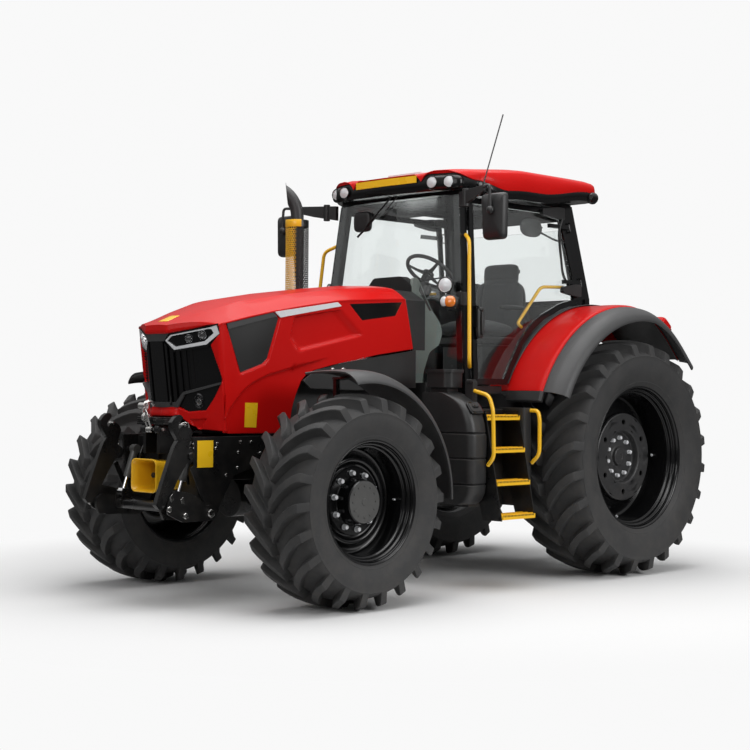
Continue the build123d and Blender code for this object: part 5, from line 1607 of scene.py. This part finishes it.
# ---- door fittings ----
def hinge_arm(z):
    """A hinge's tapered arm on the door, its x and y following the line of the door's rear edge."""
    y, x = -0.18 - (z - 2.246) * 0.2729, 0.822 - 0.0489 * (z - CAB_FOOT)
    outline = (
        (y - 0.03, z - 0.05), (y - 0.03, z + 0.05), (y - 0.1, z + 0.05), (y - 0.235, z + 0.022),
        (y - 0.24, z - 0.022), (y - 0.1, z - 0.046))
    return prism(soft_outline(outline, 0.016, 4), "yz", x - 0.002, x + 0.036)


handle = join(
    pillow((0.832, -1.432, 1.93), (0.018, 0.034, 0.112), 4),
    pillow((0.862, -1.432, 1.93), (0.01, 0.014, 0.085), 3),
    rod((0.835, -1.432, 2.005), (0.862, -1.432, 2.005), 0.01),
    rod((0.835, -1.432, 1.855), (0.862, -1.432, 1.855), 0.01),
    pillow((0.848, -1.432, 2.035), (0.014, 0.02, 0.016), 2.2, 10))
grab = tube(
    ((0.688, -0.27, 2.262), (0.688, -0.552, 2.25), (0.704, -0.855, 1.95), (0.7, -0.8, 1.925)), 0.013, 0.05,
    12, finish=1)
door_form = join(cab_shape(join(hinge_arm(2.236), hinge_arm(2.844), handle)), grab)
pair("door_fittings_{}", "door_{}", door_form, [PLASTIC, YELLOW], bevel=0.005)
wiper = join(
    tube(((0.1, -1.59, 2.925), (-0.117, -1.592, 2.762), (-0.24, -1.58, 2.69)), 0.0075, 0.02, 8),
    tube(((-0.11, -1.576, 2.775), (-0.235, -1.572, 2.685), (-0.35, -1.57, 2.61)), 0.009, 0.02, 8),
    tube(((0.14, -1.59, 2.9), (0.0, -1.59, 2.789)), 0.005, 0.02, 8),
    rod((0.1, -1.6, 2.925), (0.1, -1.565, 2.925), 0.022))
piece("wiper", "chassis", changed(cab_shape(wiper), move=(-0.085, -0.01, 0.03)), STEEL_BLACK)

# ---- inside the cab ----
DASH_SIDE = (
    (-1.543, 1.47), (-1.43, 1.47), (-1.411, 1.573), (-1.378, 1.65), (-1.345, 1.727), (-1.235, 1.784),
    (-1.2, 1.885), (-1.234, 1.961), (-1.326, 2.05), (-1.4, 2.16), (-1.451, 2.25), (-1.49, 2.29),
    (-1.543, 2.285))
column_dir = np.array([0, 0.245, 0.32]) / math.hypot(0.245, 0.32)
wheel_middle = np.array([0.0, -1.085, 2.37])
dash_form = join(
    prism(soft_outline(DASH_SIDE, 0.03, 4), "yz", 0.225, 0.25),
    prism(soft_outline([(y, min(z, 2.21)) for y, z in DASH_SIDE[:-2]], 0.02, 4), "yz", -0.25, 0.2245, 1),
    prism(
        soft_outline(
            ((-0.24, 1.9), (-0.24, 2.215), (-0.165, 2.298), (0.13, 2.302), (0.24, 2.23), (0.24, 1.9)), 0.025,
            4),
        "xz", -1.549, -1.47, 1),
    rod(tuple(wheel_middle - column_dir * 0.4), tuple(wheel_middle - column_dir * 0.045), 0.036, finish=1),
    pillow(tuple(wheel_middle - column_dir * 0.2), (0.06, 0.06, 0.09), 3, finish=1),
    changed(
        pillow((0, 0, 0), (0.14, 0.05, 0.075), 3, finish=1), turn_about((1, 0, 0), -35), (0.06, -1.3, 2.2)),
    rod((0.05, -1.2, 2.29), (0.2, -1.16, 2.31), 0.006, finish=1),
    rod((-0.05, -1.2, 2.29), (-0.2, -1.16, 2.31), 0.006, finish=1),
    block(0.25, 0.2512, -1.437, -1.402, 2.008, 2.055, 2),
    prism(
        ((-1.455, 2.235), (-1.405, 2.15), (-1.33, 2.045), (-1.35, 2.04), (-1.47, 2.19)), "yz", 0.25, 0.252, 1)
)
piece("dash_trim", "chassis", dash_form, [DASH_GREY, PLASTIC, STICKER], "dashboard", bevel=0.006)


def wheel_form():
    """The steering wheel: a torus about the column with finger swells, r = r0 + e |cos 12 a|, a
    hub and three spokes."""
    a = np.linspace(0, 2 * math.pi, 144, endpoint=False)[:, None]
    b = np.linspace(0, 2 * math.pi, 16, endpoint=False)
    r = 0.015 + 0.0012 * np.abs(np.cos(12 * a)) * (np.cos(b) < -0.2)
    ring = np.stack(
        [(0.19 + r * np.cos(b)) * np.cos(a), (0.19 + r * np.cos(b)) * np.sin(a), r * np.sin(b)], -1)
    spokes = [
        changed(
            lofted(
                np.array([
                    [(x, -w, -t), (x, w, -t), (x, w, h), (x, -w, h)]
                    for x, w, t, h in (
                        (0.02, 0.02, 0.032, -0.016), (0.1, 0.014, 0.024, -0.012), (0.186, 0.011, 0.006, 0.004)
                    )])),
            turn_about((0, 0, 1), turn))
        for turn in (90, 210, 330)]
    hub = turned(
        [(-0.04, 0.0), (-0.04, 0.042), (-0.016, 0.048), (-0.008, 0.04), (-0.005, 0.0)], (0, 0, 0), "z", 32)
    tilt = -math.degrees(math.atan2(0.245, 0.32))
    return changed(
        join(surface(ring, round_u=True, round_v=True), *spokes, hub), turn_about((1, 0, 0), tilt),
        tuple(wheel_middle))


piece(
    "wheel_rim", "steering_wheel", wheel_form(), PLASTIC, "steering_wheel", "black_plastic", bevel=0.002,
    sharp=45)


SEAM_DEPTH = 0.01


def cushion(half, crown, seams):
    """A crowned pad: a rounded block whose top rises as c (1 - u^2)(1 - v^2) and sinks along its
    seams, -d exp(-((u - s) / w)^2), with u and v the shares of its half length and half width."""
    form = pillow((0, 0, 0), half, 5.0, 44, upright=2.6)
    x, y, z = form.points.T
    u, v = np.clip(x / half[0], -1, 1), np.clip(y / half[1], -1, 1)
    top = smooth_step((z + half[2] * 0.1) / (half[2] * 0.6))
    swell = crown * (1 - u**2) * (1 - v**2)
    dip = sum(np.exp(-(((u - s) / 0.035) ** 2)) for s in seams) * SEAM_DEPTH
    dip = dip + SEAM_DEPTH * 0.8 * np.exp(-((v + 0.45) / 0.03) ** 2)
    form.points[:, 2] = z + top * (swell - dip * (1 - np.abs(v) ** 6))
    return form


seat_pad = changed(cushion((0.25, 0.25, 0.058), 0.03, (-0.62, 0.62)), move=(0, -0.545, 1.925))
back_pad = changed(
    cushion((0.245, 0.235, 0.05), 0.026, (-0.58, 0.58)), turn_about((1, 0, 0), 86), (-0.02, -0.225, 2.11))
head_pad = changed(
    cushion((0.178, 0.09, 0.048), 0.014, ()), turn_about((1, 0, 0), 86), (-0.01, -0.205, 2.392))
for name, form, stands_for in (
    ("seat_pad", seat_pad, "seat_cushion"), ("back_pad", back_pad, "seat_backrest"),
    ("head_pad", head_pad, ())
):
    made = piece(name, "chassis", form, SEAT, stands_for, "seat_fabric", smooth=1, sharp=80)
seat_back = join(
    pillow((0, -0.165, 2.11), (0.215, 0.022, 0.225), 4), block(-0.05, 0.05, -0.185, -0.15, 2.28, 2.4),
    both(
        join(
            pillow((0.285, -0.42, 2.105), (0.028, 0.15, 0.02), 3.5), block(0.27, 0.3, -0.26, -0.215, 2.0, 2.1)
        )),
    pillow((-0.34, -0.15, 2.19), (0.055, 0.045, 0.15), 4), pillow((0.1, -0.165, 2.42), (0.05, 0.02, 0.02), 4))
cab_bits = join(
    seat_back, block(-0.62, 0.62, -0.172, -0.156, 2.8, 2.912),
    pillow((-0.363, -1.47, 2.757), (0.09, 0.03, 0.08), 4),
    pillow((-0.62, -0.23, 2.86), (0.02, 0.12, 0.036), 4),
    pillow((0.6, -0.57, 2.716), (0.014, 0.135, 0.072), 2.4),
    tube(((0.6, -0.46, 2.69), (0.62, -0.3, 2.64), (0.68, -0.24, 2.62)), 0.008, 0.03, 8),
    tube(((0.7, -0.3, 2.8), (0.69, -0.33, 2.7), (0.69, -0.28, 2.36), (0.7, -0.2, 2.25)), 0.011, 0.05, 10),
    rod((-0.36, -0.8, 2.19), (-0.36, -0.83, 2.3), 0.01),
    pillow((-0.36, -0.835, 2.32), (0.024, 0.024, 0.03), 2.2, 10))
piece("cab_fittings", "chassis", cab_bits, PLASTIC, bevel=0.004)

# ---- CAD nodes that stay ----
# these keep their CAD mesh and get their finish through its slots
# the cylinder barrels' mid grey sits between the far barrel's dark look and the near barrel's bright one: in
# part their own colour, in part a painted highlight
KEPT = {"front_cylinder_barrels": HUB_GREY, "front_cylinder_rods": CHROME, "antenna": STEEL_BLACK}
for node, material in KEPT.items():
    for place in frame["nodes"][node].material_slots:
        place.material = material

# ---- floor, light, camera ----
BACKDROP = (0.946, 0.946, 0.946, 1)
FLOOR_SIZE = 60.0


def seen_directly(tree, ray):
    """1 for what the camera sees, plainly or through glass, and 0 for other light."""
    plain = add(tree, "ShaderNodeMath", operation="MAXIMUM")
    tree.links.new(ray.outputs["Is Camera Ray"], plain.inputs[0])
    tree.links.new(ray.outputs["Is Transmission Ray"], plain.inputs[1])
    return plain.outputs[0]


def make_floor():
    """A flat floor that takes the tractor's shadow, and turns to the backdrop's own colour
    further out: mix = smooth step of the distance from the tractor's middle."""
    line = np.linspace(-FLOOR_SIZE, FLOOR_SIZE, 9)
    x, y = np.meshgrid(line, line, indexing="ij")
    form = surface(np.stack([x, y, np.full_like(x, -0.0005)], -1))
    mesh = bpy.data.meshes.new("studio_floor")
    mesh.from_pydata(form.points.tolist(), [], form.corners.reshape(-1, 4).tolist())
    floor = bpy.data.objects.new("studio_floor", mesh)
    bpy.context.scene.collection.objects.link(floor)
    material = bpy.data.materials.new("studio_floor")
    material.use_nodes = True
    tree = material.node_tree
    link = tree.links.new
    tree.nodes.remove(tree.nodes["Principled BSDF"])
    out = tree.nodes["Material Output"]
    matt = add(tree, "ShaderNodeBsdfDiffuse", in_Color=(0.86, 0.86, 0.86, 1))
    glow = add(tree, "ShaderNodeEmission", in_Color=BACKDROP, in_Strength=1.0)
    shown = add(tree, "ShaderNodeMapRange", in_3=0.12, in_4=1.0)
    link(seen_directly(tree, add(tree, "ShaderNodeLightPath")), shown.inputs["Value"])
    link(shown.outputs[0], glow.inputs["Strength"])
    place = add(tree, "ShaderNodeTexCoord")
    far = add(tree, "ShaderNodeVectorMath", operation="LENGTH")
    link(place.outputs["Object"], far.inputs[0])
    step = add(tree, "ShaderNodeMapRange", interpolation_type="SMOOTHSTEP", in_1=2.3, in_2=4.4)
    link(far.outputs["Value"], step.inputs["Value"])
    mix = add(tree, "ShaderNodeMixShader")
    link(step.outputs[0], mix.inputs["Fac"])
    link(matt.outputs[0], mix.inputs[1])
    link(glow.outputs[0], mix.inputs[2])
    link(mix.outputs[0], out.inputs["Surface"])
    mesh.materials.append(material)


def make_world():
    """An even studio: the backdrop's colour to the camera and through glass, a soft gradient from
    the floor up in reflections, and a plain level for everything else."""
    world = bpy.data.worlds.new("studio")
    bpy.context.scene.world = world
    world.use_nodes = True
    tree = world.node_tree
    link = tree.links.new
    out = tree.nodes["World Output"]
    seen = tree.nodes["Background"]
    seen.inputs["Color"].default_value = BACKDROP
    seen.inputs["Strength"].default_value = 1.0
    lit = add(tree, "ShaderNodeBackground", in_Color=(1, 1, 1, 1), in_Strength=0.3)
    gloss = add(tree, "ShaderNodeBackground", in_Strength=1.0)
    place = add(tree, "ShaderNodeTexCoord")
    parts = add(tree, "ShaderNodeSeparateXYZ")
    link(place.outputs["Generated"], parts.inputs[0])
    height = add(
        tree, "ShaderNodeMapRange", interpolation_type="SMOOTHSTEP", in_1=-0.02, in_2=0.95, in_3=0.05,
        in_4=1.0)
    link(parts.outputs["Z"], height.inputs["Value"])
    tone = add(tree, "ShaderNodeCombineColor")
    for channel in range(3):
        link(height.outputs[0], tone.inputs[channel])
    link(tone.outputs[0], gloss.inputs["Color"])
    ray = add(tree, "ShaderNodeLightPath")
    first = add(tree, "ShaderNodeMixShader")
    link(ray.outputs["Is Glossy Ray"], first.inputs["Fac"])
    link(lit.outputs[0], first.inputs[1])
    link(gloss.outputs[0], first.inputs[2])
    second = add(tree, "ShaderNodeMixShader")
    link(seen_directly(tree, ray), second.inputs["Fac"])
    link(first.outputs[0], second.inputs[1])
    link(seen.outputs[0], second.inputs[2])
    link(second.outputs[0], out.inputs["Surface"])


def soft_box(name, place, aim, width, height, power):
    """A flat studio lamp, turned to face a point."""
    light = bpy.data.lights.new(name, "AREA")
    light.shape, light.size, light.size_y, light.energy = "RECTANGLE", width, height, power
    made = bpy.data.objects.new(name, light)
    bpy.context.scene.collection.objects.link(made)
    made.location = place
    made.rotation_euler = (Vector(aim) - Vector(place)).to_track_quat("-Z", "Y").to_euler()


make_floor()
make_world()
soft_box("top_box", (0.5, -0.5, 7.5), (0, 0, 1), 7.0, 9.0, 500)
soft_box("side_box", (9.0, 1.5, 4.5), (0, 0, 1.2), 5.0, 3.0, 300)
soft_box("front_box", (3.0, -9.0, 4.5), (0, -1, 1.2), 5.0, 3.0, 130)

camera_data = bpy.data.cameras.new("camera")
camera_data.lens, camera_data.sensor_width = 73.63, 36.0
camera_data.clip_end = 200.0
camera = bpy.data.objects.new("camera", camera_data)
bpy.context.scene.collection.objects.link(camera)
CAMERA_PLACE = (8.244, -9.963 + AXLE_Y, 1.428)
AZIMUTH, ELEVATION, ROLL = 44.896, -0.584, 0.445
facing = Matrix.Rotation(math.radians(AZIMUTH), 3, "Z") @ Matrix.Rotation(
    math.radians(90 - ELEVATION), 3, "X")
camera.matrix_world = Matrix.Translation(CAMERA_PLACE) @ (
    facing @ Matrix.Rotation(math.radians(ROLL), 3, "Z")).to_4x4()
bpy.context.scene.camera = camera
bpy.context.scene.view_settings.view_transform = "Standard"
